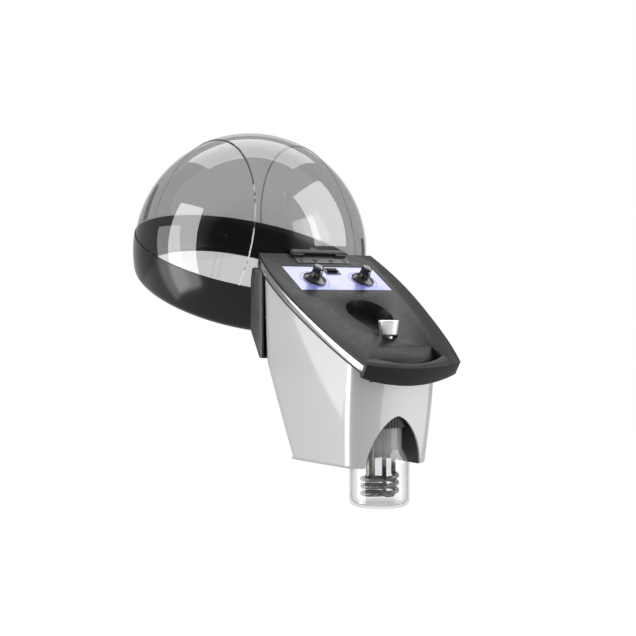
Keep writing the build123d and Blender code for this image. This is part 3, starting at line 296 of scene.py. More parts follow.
class Finish(Wiring):
    """A material under construction: a node tree with a Principled shader and Object coordinates."""

    def __init__(self, name):
        self.material = bpy.data.materials.new(name)
        self.material.use_nodes = True
        super().__init__(self.material.node_tree)
        self.shader = self.tree.nodes["Principled BSDF"]
        self.output = self.tree.nodes["Material Output"]
        self.place = self.node("ShaderNodeTexCoord").outputs["Object"]

    def set(self, **values):
        """Constant values on the Principled shader's own sockets."""
        for key, value in values.items():
            self.shader.inputs[key.replace("_", " ")].default_value = value
        return self

    def noise(self, scale, detail=3.0, stretch=(1, 1, 1)):
        """Noise on the object's coordinates."""
        mapping = self.node("ShaderNodeMapping", Scale=stretch, Vector=self.place)
        noise = self.node("ShaderNodeTexNoise", Scale=scale, Detail=detail, Vector=mapping.outputs["Vector"])
        return noise.outputs["Fac"]

    def ranged(self, source, low, high, source_low=0.3, source_high=0.7):
        """A source remapped to a range."""
        node = self.node(
            "ShaderNodeMapRange", Value=source, From_Min=source_low, From_Max=source_high, To_Min=low, To_Max=high
        )
        return node.outputs["Result"]

    def off_round(self, centre):
        """How far the surface leaves a ball about the centre: 0 on the ball, 1 on its steps and slots."""
        out = self.node("ShaderNodeVectorMath", "SUBTRACT")
        self.feed(out.inputs[0], self.place)
        self.feed(out.inputs[1], centre)
        unit = self.node("ShaderNodeVectorMath", "NORMALIZE")
        self.feed(unit.inputs[0], out.outputs[0])
        along = self.node("ShaderNodeVectorMath", "DOT_PRODUCT")
        self.feed(along.inputs[0], unit.outputs[0])
        self.feed(along.inputs[1], self.node("ShaderNodeNewGeometry").outputs["Normal"])
        return self.ranged(self.calc("ABSOLUTE", along.outputs["Value"]), 0.0, 1.0, 0.96, 0.85)

    def blend(self, factor, first, second):
        """A colour between two, by a factor."""
        node = self.node("ShaderNodeMix")
        node.data_type = "RGBA"
        self.feed(node.inputs[0], factor)
        for socket, value in ((node.inputs[6], first), (node.inputs[7], second)):
            self.feed(socket, (*value, 1) if isinstance(value, tuple) else value)
        return node.outputs[2]

    def mottled(self, colour, scale, amount):
        """A base colour that wanders a little over the surface."""
        dark = tuple(c * (1 - amount) for c in colour)
        light = tuple(min(1, c * (1 + amount)) for c in colour)
        shade = self.blend(self.ranged(self.noise(scale), 0, 1), dark, light)
        self.feed(self.shader.inputs["Base Color"], shade)
        return self

    def varied_roughness(self, low, high, scale=40.0, stretch=(1, 1, 1)):
        """A roughness that wanders between two values."""
        self.feed(self.shader.inputs["Roughness"], self.ranged(self.noise(scale, 4.0, stretch), low, high))
        return self

    def grained(self, scale, strength, depth):
        """A fine bump."""
        bump = self.node("ShaderNodeBump", Strength=strength, Distance=depth, Height=self.noise(scale, 2.0))
        self.feed(self.shader.inputs["Normal"], bump.outputs["Normal"])
        return self


def settings():
    """The steamer's settings on this scene."""
    return bpy.context.scene.steamer


def silver_paint():
    """Silver metallic paint under a clear coat, for the housing."""
    f = Finish("silver paint").set(Metallic=0.12, Coat_Weight=1.0, Coat_Roughness=0.04)
    f.mottled(tuple(settings().silver_colour), 500.0, 0.02)
    return f.varied_roughness(0.30, 0.36, 200.0).material


def panel_black():
    """Satin black moulding with a fine spark-eroded grain."""
    f = Finish("panel black").set(Specular_IOR_Level=0.15)
    f.mottled(tuple(settings().panel_colour), 60.0, 0.08)
    f.varied_roughness(0.34, 0.44, 120.0)
    return f.grained(2400.0, 0.12, 0.00006).material


def plain(name, colour, wander, roughness, grain=None, **shader):
    """Maker of a finish whose colour and roughness wander a little, with a fine bump where it has grain."""

    def make():
        f = Finish(name).set(**shader)
        f.mottled(colour, *wander).varied_roughness(*roughness)
        return (f.grained(*grain) if grain else f).material

    return make


# name, colour, (noise scale, amount), (low and high roughness, noise scale), (noise scale, strength, depth)
COVER_BLACK = plain(
    "cover black", (0.016, 0.016, 0.017), (50.0, 0.1), (0.30, 0.42, 90.0), (1800.0, 0.10, 0.00005),
    Specular_IOR_Level=0.4,
)
GLOSS_BLACK = plain("gloss black", (0.005, 0.005, 0.0055), (12.0, 0.1), (0.12, 0.17, 8.0), Specular_IOR_Level=0.24)
KNOB_BLACK = plain(
    "knob black", (0.008, 0.008, 0.009), (200.0, 0.15), (0.18, 0.28, 250.0), (1500.0, 0.06, 0.00003),
    Specular_IOR_Level=0.5,
)
BAY_GREY = plain(
    "bay grey", (0.055, 0.055, 0.055), (70.0, 0.08), (0.45, 0.6, 120.0), (1800.0, 0.12, 0.00006),
    Specular_IOR_Level=0.3,
)
BRIGHT_TRIM = plain(
    "bright trim", (0.30, 0.30, 0.31), (30.0, 0.03), (0.14, 0.22, 60.0, (1, 12, 12)), Metallic=1.0
)
SATIN_SILVER = plain(
    "satin silver", (0.80, 0.80, 0.81), (300.0, 0.05), (0.30, 0.42, 400.0), (3500.0, 0.35, 0.00012), Metallic=0.85
)
CAST_ALUMINIUM = plain(
    "cast aluminium", (0.60, 0.60, 0.61), (80.0, 0.08), (0.35, 0.55, 150.0), (900.0, 0.25, 0.00015), Metallic=1.0
)
PLATED_STEEL = plain("plated steel", (0.54, 0.55, 0.57), (60.0, 0.10), (0.22, 0.38, 90.0), Metallic=1.0)
PROBE_STEEL = plain(
    "probe steel", (0.19, 0.19, 0.17), (140.0, 0.35), (0.30, 0.5, 200.0), (500.0, 0.2, 0.0001), Metallic=0.7
)
RUBBER = plain(
    "rubber", (0.02, 0.02, 0.02), (90.0, 0.15), (0.7, 0.85, 120.0), (1500.0, 0.2, 0.00008), Specular_IOR_Level=0.25
)
DUCT_GREY = plain(
    "duct grey", (0.42, 0.42, 0.40), (60.0, 0.06), (0.4, 0.55, 100.0), (1200.0, 0.1, 0.00006),
    Specular_IOR_Level=0.4,
)
ELECTRICS_CREAM = plain(
    "electrics cream", (0.62, 0.59, 0.50), (90.0, 0.06), (0.35, 0.5, 100.0), (1400.0, 0.1, 0.00006),
    Specular_IOR_Level=0.4,
)


def heater_steel():
    """Dark scaled steel of the heater, with pale lime where it stands in water."""
    f = Finish("heater steel").set(Metallic=0.6)
    scale = f.ranged(f.noise(220.0, 5.0), 0, 1, 0.52, 0.70)
    shade = f.blend(scale, (0.055, 0.054, 0.052), (0.34, 0.33, 0.31))
    f.feed(f.shader.inputs["Base Color"], shade)
    f.varied_roughness(0.22, 0.55, 180.0)
    return f.grained(700.0, 0.3, 0.0002).material


def see_through(name, clear, edge, mirror, rim, roughness, power=4.0, painted_sheen_from=None, centre=None):
    """Thin clear wall: tinted straight through, darker toward its edges as painted shade, with a mirror share that
    grows toward its edges.
    """
    f = Finish(name)
    f.tree.nodes.remove(f.shader)
    facing = f.node("ShaderNodeLayerWeight", Blend=0.5).outputs["Facing"]
    front = f.calc("SUBTRACT", 1.0, f.node("ShaderNodeNewGeometry").outputs["Backfacing"])
    drift = f.ranged(f.noise(6.0, 2.0), 0.0, 0.15)
    # toward grazing edges the tint runs to the edge colour: painted shade for the dark edges of clear glass
    tint = f.blend(f.calc("MAXIMUM", f.calc("POWER", facing, power), drift), clear, edge)
    # with a centre, the globe's steps and slot walls are tinted dark grey: painted shade for the dark lines along
    # its seams and slots
    if centre is not None:
        tint = f.blend(f.off_round(centre), tint, (0.16, 0.16, 0.165))
    body = f.node("ShaderNodeBsdfTransparent", Color=tint).outputs[0]
    # above the given height a pale diffuse film is mixed over the front faces: painted reflection for the light on
    # the glass shoulder and neck
    if painted_sheen_from is not None:
        split = f.node("ShaderNodeSeparateXYZ", Vector=f.place)
        scale = f.node("ShaderNodeBsdfDiffuse", Roughness=0.4, Color=(0.85, 0.85, 0.86, 1))
        rise = f.ranged(split.outputs["Z"], 0.0, 0.26, painted_sheen_from, painted_sheen_from + 0.022)
        body = f.mixed(f.calc("MULTIPLY", rise, front), body, scale.outputs[0])
    gloss = f.node("ShaderNodeBsdfGlossy", Roughness=roughness, Color=(1, 1, 1, 1))
    share = f.calc("ADD", mirror, f.calc("MULTIPLY", rim, f.calc("POWER", facing, 5.0)))
    f.feed(f.output.inputs["Surface"], f.mixed(f.calc("MULTIPLY", share, front), body, gloss.outputs[0]))
    return f.material


def smoked_dome():
    """Smoked clear globe, with painted shade on its steps and slot walls."""
    c = settings().dome_clearness
    return see_through("smoked dome", (c, c * 0.99, c), (c, c * 0.99, c), 0.055, 0.5, 0.02, centre=HOOD_CENTRE)


def jar_glass():
    """Clear glass of the boiler jar, with painted shade toward its edges and a painted reflection over its shoulder
    and neck.
    """
    return see_through(
        "jar glass", (0.96, 0.962, 0.965), (0.62, 0.625, 0.63), 0.045, 0.25, 0.015, power=2.5, painted_sheen_from=0.0
    )


DEEP_EDGE = (-37 * MM, -16 * MM)  # up the slope, from full deep blue to none
DEEP_REACH = (10 * MM, 34 * MM)  # across from a knob's axis, from full deep blue to none
PALE_EDGE = (-20 * MM, 26 * MM)
RING_R, RING_HALF = 22.2 * MM, 0.7 * MM
TICK_R, TICK_HALF = 19.6 * MM, 1.4 * MM
TICK_TURNS = 24.0
SCALE_GAP = 0.45  # half the gap in a scale, in radians


def label_print():
    """Printed control label: lavender, deeper blue at its lower edge, with a violet scale round each knob."""
    f = Finish("label print").set(Coat_Weight=0.3, Coat_Roughness=0.08, Roughness=0.3)
    split = f.node("ShaderNodeSeparateXYZ", Vector=f.place)
    along = f.calc("DIVIDE", f.calc("SUBTRACT", split.outputs["Y"], PANEL_ORIGIN.y), math.cos(SLOPE))
    across = f.calc("SUBTRACT", f.calc("ABSOLUTE", split.outputs["X"]), KNOB_X)
    down = f.calc("SUBTRACT", along, KNOB_V)
    far = f.calc("SQRT", f.calc("ADD", f.calc("POWER", across, 2.0), f.calc("POWER", down, 2.0)))
    turn = f.calc("ARCTAN2", down, across)
    low_edge = f.ranged(along, 1.0, 0.0, *DEEP_EDGE)
    near_knob = f.ranged(f.calc("ABSOLUTE", across), 1.0, 0.0, *DEEP_REACH)
    deep = f.calc("MULTIPLY", low_edge, near_knob)
    pale = f.ranged(along, 0.0, 0.55, *PALE_EDGE)
    base = f.blend(deep, tuple(settings().label_colour), (0.10, 0.20, 0.62))
    base = f.blend(pale, base, (0.56, 0.57, 0.87))
    ring = f.calc("COMPARE", far, RING_R, RING_HALF)
    ticks = f.calc("COMPARE", far, TICK_R, TICK_HALF)
    comb = f.calc("GREATER_THAN", f.calc("SINE", f.calc("MULTIPLY", turn, TICK_TURNS)), 0.35)
    marks = f.calc("MAXIMUM", ring, f.calc("MULTIPLY", ticks, comb))
    gap = f.calc("LESS_THAN", f.calc("ABSOLUTE", f.calc("ADD", turn, math.pi / 2)), SCALE_GAP)
    marks = f.calc("MULTIPLY", marks, f.calc("SUBTRACT", 1.0, gap))
    f.feed(f.shader.inputs["Base Color"], f.blend(marks, base, (0.20, 0.10, 0.48)))
    return f.grained(1500.0, 0.04, 0.00002).material


FINISHES = {
    "silver_shell": silver_paint,
    "panel_black": panel_black,
    "gloss_black": GLOSS_BLACK,
    "cover_black": COVER_BLACK,
    "bay_grey": BAY_GREY,
    "bright_trim": BRIGHT_TRIM,
    "label_blue": label_print,
    "knob_black": KNOB_BLACK,
    "switch_black": KNOB_BLACK,
    "satin_silver": SATIN_SILVER,
    "smoked_dome": smoked_dome,
    "jar_glass": jar_glass,
    "boiler_aluminium": CAST_ALUMINIUM,
    "heater_steel": heater_steel,
    "steel": PLATED_STEEL,
    "rubber_black": RUBBER,
    "duct_plastic": DUCT_GREY,
    "electrics_cream": ELECTRICS_CREAM,
}
MADE = {}


def finish_for(slot):
    """The one material of a slot, made when first asked for."""
    maker = FINISHES[slot]
    if maker not in MADE:
        MADE[maker] = maker()
    return MADE[maker]


# ---- housing ------------------------------------------------------------------------------------------------
FRONT_Y = -103 * MM
FRONT_HALF = 66 * MM
FRONT_LEAN = 0.102
FRONT_BOW = 10 * MM
SIDE_FLARE_Y = 0.094
SIDE_FLARE_Z = 0.045
BACK_Y = 83 * MM
BACK_FOOT_Y = 32 * MM
BACK_KNEE_Z = 138 * MM
CORNER_R = 16 * MM
WALL = 3 * MM
BOW_REACH = 40 * MM  # the front's bow fades out over the corners within this depth
ARCH_TOP = 69 * MM
ARCH_HALF = 46 * MM
WINDOW_HALF = 55 * MM
WINDOW_LOW, WINDOW_HIGH = 150 * MM, 262 * MM


def housing_top(y):
    """Height of the housing's top edge under the panel."""
    return PANEL_ORIGIN.z + math.tan(SLOPE) * (y - PANEL_ORIGIN.y) - PANEL_DEPTH / math.cos(SLOPE)


def corner_arc(centre, start, radius, steps=10):
    """Points of a quarter arc about a centre from a start angle, in degrees."""
    return [
        (centre[0] + radius * math.cos(math.radians(start + 90 * i / steps)),
         centre[1] + radius * math.sin(math.radians(start + 90 * i / steps)))
        for i in range(steps + 1)
    ]


def housing_outline(z, inset):
    """Plan of the housing at a height: bowed front, flared sides and rounded corners."""
    knee = min(1.0, max(0.0, z) / BACK_KNEE_Z)
    front = FRONT_Y - FRONT_LEAN * z + inset
    back = BACK_FOOT_Y + (BACK_Y - BACK_FOOT_Y) * knee - inset
    r = CORNER_R - inset

    def half(y):
        return FRONT_HALF + SIDE_FLARE_Y * (y - FRONT_Y) + SIDE_FLARE_Z * z - inset

    def line(a, b, count):
        return [(a[0] + (b[0] - a[0]) * i / count, a[1] + (b[1] - a[1]) * i / count) for i in range(1, count)]

    f, b = half(front), half(back)
    corners = [
        corner_arc((-f + r, front + r), 180, r),
        corner_arc((f - r, front + r), 270, r),
        corner_arc((b - r, back - r), 0, r),
        corner_arc((-b + r, back - r), 90, r),
    ]
    counts = (48, 40, 24, 40)
    out = []
    for i, corner in enumerate(corners):
        out += corner
        out += line(corner[-1], corners[(i + 1) % 4][0], counts[i])
    bowed = []
    for x, y in out:
        if y < front + BOW_REACH:
            y -= FRONT_BOW * max(0.0, 1 - (x / f) ** 2)
        bowed.append((x, y))
    return bowed


def housing_ring(s, inset, bulge):
    """Ring of the housing's wall at a share of its height, whose top follows the panel.

    The walls lean, so a few rounds settle each point's place and height together."""
    low = housing_outline(0.0, inset)
    ring = []
    for i, (x, y) in enumerate(low):
        z = s * housing_top(y)
        for _ in range(4):
            x, y = housing_outline(z, inset)[i]
            z = s * housing_top(y)
        swell = bulge * math.sin(math.pi * s) * (1 if abs(x) > 0.03 else abs(x) / 0.03)
        ring.append(Vector((x + math.copysign(swell, x) if x else 0.0, y, z)))
    return ring


def arch_prism():
    """Pointed arch that opens the jar bay in the housing's front."""
    count = 28
    foot, ahead, behind = -30 * MM, -160 * MM, -60 * MM
    side = []
    for i in range(count + 1):
        t = i / count
        x = ARCH_HALF * math.sin(math.pi / 2 * t**0.92) ** 0.95 * (0.18 * t + 0.82)
        side.append((x, ARCH_TOP * (1 - t**1.45)))
    outline = side + [(ARCH_HALF, foot), (-ARCH_HALF, foot)] + [(-x, z) for x, z in reversed(side[1:])]
    rings = [[Vector((x, y, z)) for x, z in outline] for y in (ahead, behind)]
    return skin(rings, close_ends=True)


def block(x0, x1, y0, y1, z0, z1):
    """Points and faces of a box."""
    rings = [[Vector((x, y, z)) for x, y in ((x0, y0), (x1, y0), (x1, y1), (x0, y1))] for z in (z0, z1)]
    return skin(rings, close_ends=True)


class STEAMER_OT_housing(bpy.types.Operator):
    """Build the silver housing shell with its jar arch and back window"""

    bl_idname = "steamer.housing"
    bl_label = "Housing"

    def execute(self, context):
        bulge = settings().housing_bulge
        levels = [0.0, 0.004, 0.012] + [0.03 + 0.94 * i / 32 for i in range(33)] + [0.988, 0.996, 1.0]
        ease = {0.0: 1.6 * MM, 0.004: 0.6 * MM, 0.012: 0.0}
        outer = [housing_ring(s, ease.get(s, 0.0), bulge) for s in levels]
        inner = [housing_ring(s, WALL, bulge) for s in reversed(levels)]
        points, faces = skin(outer + inner, close_rows=True)
        shell = link(mesh_from("housing", points, faces), "housing_shell_skin")
        cut(shell, *arch_prism())
        window = block(-WINDOW_HALF, WINDOW_HALF, BACK_Y - 13 * MM, BACK_Y + 7 * MM, WINDOW_LOW, WINDOW_HIGH)
        cut(shell, *window)
        finish_piece(shell, "housing", finish_for("silver_shell"), ["housing_shell"], 32)
        return {"FINISHED"}


# ---- hood ---------------------------------------------------------------------------------------------------
HOOD_WALL = 3 * MM
DOME_EXTRA = 1.0 * MM  # the dome's wall is this much thicker than the band's
DOME_COLUMNS, DOME_ROWS = 192, 60
DOME_TOP = 89.6  # latitude where the dome's rings stop, degrees
BAND_COLUMNS = 240
BAND_LIP = 1 * MM
STRIP_HALF = 104 * MM
STRIP_LEAN = 0.19
STRIP_RAMP = 1.9 * MM
TONGUE_TURNS = (45, 135, 225, 315)


def hood_point(radius, lon, lat):
    """Point on a ball about the hood's centre; longitude 0 faces the operator."""
    a, b = math.radians(lon), math.radians(lat)
    ring = radius * math.cos(b)
    return in_hood(ring * math.sin(a), -ring * math.cos(a), radius * math.sin(b))


def ball_rings(radius, columns, rows):
    """Rings of the upper half ball from the seam to just short of the crown."""
    return [
        [hood_point(radius, 360 * c / columns, DOME_TOP * r / rows) for c in range(columns)]
        for r in range(rows + 1)
    ]


def lower_side_fields(mesh, step):
    """Cuts the two leaning seams into the globe and sets the fields beyond them lower."""
    bm = bmesh.new()
    bm.from_mesh(mesh)
    for side in (-1, 1):
        normal = in_hood(side, 0, STRIP_LEAN) - HOOD_CENTRE
        for extra in (0.0, STRIP_RAMP):
            at = in_hood(side * (STRIP_HALF + extra), 0, 0)
            geometry = bm.verts[:] + bm.edges[:] + bm.faces[:]
            bmesh.ops.bisect_plane(bm, geom=geometry, plane_co=at, plane_no=normal, dist=1e-6)
        edge = in_hood(side * (STRIP_HALF + STRIP_RAMP * 0.5), 0, 0)
        for vert in bm.verts:
            out = vert.co - HOOD_CENTRE
            if out.length > HOOD_R - 1.5 * MM and (vert.co - edge).dot(normal) > 0:
                vert.co = HOOD_CENTRE + out * ((out.length - step) / out.length)
    bm.to_mesh(mesh)
    bm.free()


def tongue_slot(turn):
    """U-shaped slot round one snap tongue, as a solid that runs out along a radius."""
    half, top, foot, gap = 4.5 * MM, 67 * MM, 4 * MM, 1.3 * MM

    def arch(grow):
        h, t = half + grow, top + grow
        bend = [(h * math.cos(math.pi * i / 12), t - h + h * math.sin(math.pi * i / 12)) for i in range(13)]
        return [(h, foot)] + bend + [(-h, foot)]

    outline = arch(gap) + list(reversed(arch(0.0)))
    a = math.radians(turn)
    across, out = Vector((math.cos(a), math.sin(a), 0)), Vector((math.sin(a), -math.cos(a), 0))
    rings = []
    for reach in (0.120, 0.200):
        rings.append([in_hood(*(across * x + out * reach + Vector((0, 0, up)))) for x, up in outline])
    return skin(rings, close_ends=True)


def set_ball_normals(mesh):
    """Normals of the ball's own faces run along its radii, so cuts leave its reflections true."""
    normals = []
    for vert in mesh.vertices:
        out = vert.co - HOOD_CENTRE
        normals.append(out.normalized() if out.length > HOOD_R - 2.6 * MM else -out.normalized())
    loops = []
    for polygon in mesh.polygons:
        radial = (polygon.center - HOOD_CENTRE).normalized()
        for loop in polygon.loop_indices:
            if abs(polygon.normal.dot(radial)) > 0.9:
                loops.append(normals[mesh.loops[loop].vertex_index])
            else:
                loops.append(polygon.normal.copy())
    mesh.shade_smooth()
    mesh.normals_split_custom_set(loops)


def band_profile(lon, inset):
    """(radius, height) pairs of the band's wall from the seam round the rim to its turned-in lip."""
    a = math.radians(lon)
    radius = HOOD_R - inset
    rim = -BAND_DEPTH + inset
    for _ in range(3):
        ring = math.sqrt(radius**2 - rim**2)
        rim = -BAND_DEPTH + inset - RIM_SLOPE * ring * math.cos(a)
    ring = math.sqrt(radius**2 - rim**2)
    turn = 11 * MM - inset
    start = rim + turn
    out = []
    for i in range(25):
        up = start * i / 24
        out.append((math.sqrt(radius**2 - up**2), up))
    first, corner, last = Vector(out[-1]), Vector((ring + 0.2 * MM, rim)), Vector((ring - turn, rim))
    for i in range(1, 11):
        t = i / 10
        out.append(tuple(first * (1 - t) ** 2 + corner * 2 * t * (1 - t) + last * t**2))
    return out


def band_wall(lon, inset, lip):
    """Points of the band's wall at one longitude."""
    a = math.radians(lon)
    profile = band_profile(lon, inset)
    profile.append((band_profile(lon, 0.0)[-1][0] - lip, profile[-1][1]))
    return [in_hood(r * math.sin(a), -r * math.cos(a), up) for r, up in profile]


class STEAMER_OT_hood(bpy.types.Operator):
    """Build the smoked globe and the glossy band of the hood"""

    bl_idname = "steamer.hood"
    bl_label = "Hood"

    def execute(self, context):
        columns, rows = DOME_COLUMNS, DOME_ROWS
        outer_points, outer_faces = skin(ball_rings(HOOD_R, columns, rows))
        inner_points, inner_faces = skin(ball_rings(HOOD_R - HOOD_WALL - DOME_EXTRA, columns, rows))
        crown = tuple(range(rows * columns, (rows + 1) * columns))
        shift = len(outer_points)
        seam = [(c, (c + 1) % columns, shift + (c + 1) % columns, shift + c) for c in range(columns)]
        faces = outer_faces + [crown] + [tuple(shift + i for i in f) for f in inner_faces]
        faces += [tuple(shift + i for i in reversed(crown))] + seam
        dome = link(mesh_from("dome", outer_points + inner_points, faces), "hood_dome_skin")
        lower_side_fields(dome.data, settings().crown_step)
        for turn in TONGUE_TURNS:
            cut(dome, *tongue_slot(turn))
        set_ball_normals(dome.data)
        finish_piece(dome, "hood", finish_for("smoked_dome"), ["hood_dome"], None)

        rings = []
        for i in range(BAND_COLUMNS):
            lon = 360 * i / BAND_COLUMNS
            rings.append(band_wall(lon, 0.0, BAND_LIP) + list(reversed(band_wall(lon, HOOD_WALL, BAND_LIP))))
        points, faces = skin(rings, close_rows=True)
        band = link(mesh_from("band", points, faces), "hood_band_skin")
        finish_piece(band, "hood", finish_for("gloss_black"), ["hood_band"], 50)
        return {"FINISHED"}


# ---- boiler jar, heater and collar --------------------------------------------------------------------------
JAR_Y = (JAR_LOW.y + JAR_HIGH.y) / 2
JAR_R = (JAR_HIGH.x - JAR_LOW.x) / 2
NECK_R = 30.8 * MM
JAR_WALL = 2.4 * MM


def jar_profile(inset, base):
    """(radius, height) pairs of the jar's wall from its base to its mouth."""
    r, neck, corner = JAR_R - inset, NECK_R - inset, 8 * MM - inset * 0.6
    low = JAR_LOW.z + base
    out = [(POLE_R, low + 1.2 * MM), (r * 0.55, low + 0.9 * MM), (r - corner * 1.4, low)]
    for i in range(9):
        a = math.pi / 2 * i / 8
        out.append((r - corner + corner * math.sin(a), low + corner - corner * math.cos(a)))
    shoulder, top = 1 * MM, 24 * MM
    for i in range(17):
        t = i / 16
        blend = t * t * (3 - 2 * t)
        out.append((r + (neck - r) * blend, shoulder + (top - shoulder) * t))
    if inset == 0:
        bead = 2 * MM
        foot = 55.5 * MM
        out += [(neck, foot), (neck + bead, foot + 0.6 * MM)]
        out += [(neck + bead, foot + 2.9 * MM), (neck, foot + 3.5 * MM)]
    out += [(neck, JAR_HIGH.z - 0.4 * MM), (neck + (0.6 * MM if inset else -0.6 * MM), JAR_HIGH.z)]
    return out


class STEAMER_OT_boiler(bpy.types.Operator):
    """Build the glass jar and its ribbed collar"""

    bl_idname = "steamer.boiler"
    bl_label = "Boiler"

    def execute(self, context):
        place = Matrix.Translation((0, JAR_Y, 0))
        wall = jar_profile(0.0, 0.0) + list(reversed(jar_profile(JAR_WALL, JAR_WALL * 1.4)))
        jar = link(lathe("jar", wall + [wall[0]], place, 128), "glass_jar_skin")
        finish_piece(jar, "jar", finish_for("jar_glass"), ["glass_jar"], 60)

        low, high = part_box("jar_collar")
        outer, inner = (high.x - low.x) / 2, (high.x - low.x) / 2 - 2.6 * MM
        floor = 3 * MM
        lip = NECK_R + 0.3 * MM
        profile = [
            (lip, low.z), (outer - 1 * MM, low.z), (outer, low.z + 1 * MM), (outer, high.z - 1 * MM),
            (outer - 1 * MM, high.z), (inner, high.z), (inner, low.z + floor), (lip, low.z + floor), (lip, low.z),
        ]

        def rib(turn, radius, z):
            return 0.5 * MM * (math.cos(turn * 48) - 1) if radius > inner + 1.2 * MM else 0.0

        collar = link(lathe("collar", profile, place, 384, rib), "jar_collar_skin")
        finish_piece(collar, "collar", finish_for("cover_black"), ["jar_collar"], 40)
        return {"FINISHED"}


class STEAMER_OT_heater(bpy.types.Operator):
    """Build the tubular heater as one bent rod and give the level probe its finish"""

    bl_idname = "steamer.heater"
    bl_label = "Heater"

    def execute(self, context):
        radius, tube_r, pitch, turns, low = 24 * MM, 3.2 * MM, 10 * MM, 3, -45 * MM
        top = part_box("heater_coil")[1].z
        centre = Vector((0, JAR_Y, 0))
        leg = 8 * MM
        bend = 6 * MM
        path = [centre + Vector((leg, 0, z)) for z in (top, 0.0, low + 2 * bend, low + bend)]
        for i in range(1, 7):
            a = math.pi / 2 * i / 7
            path.append(centre + Vector((leg + bend - bend * math.cos(a), 0, low + bend - bend * math.sin(a))))
        path.append(centre + Vector((leg + bend, 0, low)))
        path.append(centre + Vector((radius - 1.5 * MM, 0.6 * MM, low)))
        steps = 48 * turns
        for i in range(2, steps + 1):
            a = math.tau * turns * i / steps
            z = low + pitch * turns * i / steps
            path.append(centre + Vector((radius * math.cos(a), radius * math.sin(a), z)))
        end = path[-1]
        path += [end + Vector((0, 0, z)) for z in (1.5 * MM, 4 * MM, 20 * MM)]
        path.append(Vector((end.x, end.y, top)))
        coil = link(sweep_tube("coil", path, tube_r, 20), "heater_coil_skin")
        finish_piece(coil, "housing", finish_for("heater_steel"), ["heater_coil"], 60)

        node = frame["nodes"]["level_probe"]
        node.data.materials.clear()
        node.data.materials.append(PROBE_STEEL())
        return {"FINISHED"}


# ---- controls -----------------------------------------------------------------------------------------------
MARK_PATH = ((9.4, 14.0), (9.6, 18.0), (9.0, 21.2), (7.0, 22.2), (3.5, 22.2))  # out and up over a pointer, mm
MARK_R = 0.45 * MM


class STEAMER_OT_controls(bpy.types.Operator):
    """Build the two knobs with their pointer marks and the filler plug"""

    bl_idname = "steamer.controls"
    bl_label = "Controls"

    def execute(self, context):
        top = 22 * MM
        profile = [
            (POLE_R, 0.0), (15.5 * MM, 0.0), (16.8 * MM, 0.5 * MM), (17 * MM, 1.3 * MM),
            (16.4 * MM, 2.1 * MM), (14.2 * MM, 3.2 * MM), (11.8 * MM, 4.6 * MM),
            (9.8 * MM, 6.6 * MM), (8.5 * MM, 9.0 * MM), (7.7 * MM, 11.5 * MM),
            (7.5 * MM, 14.0 * MM), (7.7 * MM, 17.0 * MM), (8.0 * MM, top - 2.0 * MM),
            (7.8 * MM, top - 0.9 * MM), (7.0 * MM, top - 0.2 * MM), (5.5 * MM, top), (POLE_R, top),
        ]

        def grip(turn, radius, z):
            rise = min(1.0, max(0.0, (z - 6 * MM) / (5 * MM)))
            if radius < 5 * MM:
                return 0.0
            pointer = 1.6 * MM * math.exp(-((math.sin((turn + math.pi / 2) / 2)) ** 2) / 0.012)
            return rise * (0.45 * MM * math.cos(turn * 12) - 0.3 * MM + pointer)

        for side, name, body in ((-1, "timer_knob", "timer_dial"), (1, "power_knob", "power_dial")):
            place = panel_matrix(side * KNOB_X, KNOB_V, 0.0)
            knob = link(lathe(name, profile, place, 144, grip), name + "_skin")
            finish_piece(knob, body, finish_for("knob_black"), [name], 45)
            path = [place @ Vector((0, -out * MM, up * MM)) for out, up in MARK_PATH]
            line = link(sweep_tube(name + "_mark", path, MARK_R, 8), name + "_mark")
            finish_piece(line, body, finish_for("satin_silver"), (), 60)

        low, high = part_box("filler_plug")
        axis = Matrix.Translation(((low.x + high.x) / 2, (low.y + high.y) / 2, 0))
        r = (high.x - low.x) / 2
        foot = low.z + 25 * MM
        sides = [(POLE_R, low.z), (5.6 * MM, low.z), (5.6 * MM, foot), (11.5 * MM, foot)]
        sides += [(r, high.z - 1.0 * MM), (r - 1.2 * MM, high.z), (POLE_R, high.z)]
        plug_profile = rounded(sides, 2.5 * MM, 6)

        def square(turn, radius, z):
            share = min(1.0, max(0.0, (z - foot) / (10 * MM)))
            return -share * radius * 0.10 * (1 - math.cos(turn * 4)) / 2 if radius > 1 * MM else 0.0

        plug = link(lathe("plug", plug_profile, axis, 96, square), "filler_plug_skin")
        finish_piece(plug, "plug", finish_for("satin_silver"), ["filler_plug"], 50)
        return {"FINISHED"}


# ---- screws -------------------------------------------------------------------------------------------------
SCREW_SIZES = {
    "Head Radius": 3.2 * MM,
    "Head Height": 2.0 * MM,
    "Shank Radius": 1.6 * MM,
    "Shank Length": 9.0 * MM,
}
HINGE_SCREW_XS = (-38, -14, 14, 38)  # mm, as are the other lists of places
HINGE_SCREW_SETBACK = 20.7 * MM  # down the slope from the panel's back edge
HINGE_LEAF_W = -0.8 * MM
COVER_SCREW_XS, COVER_SCREW_ZS = (-84, 84), (200, 250)
COVER_BACK_Y = 97 * MM
BASE_SCREW_XS = (-46, 46)
BASE_SCREW_Y = -8 * MM
BRACKET_SCREW_XS = (-19, 19)
BRACKET_SCREW_TURNS = (26, 40)  # degrees below the horizontal at the hood's centre


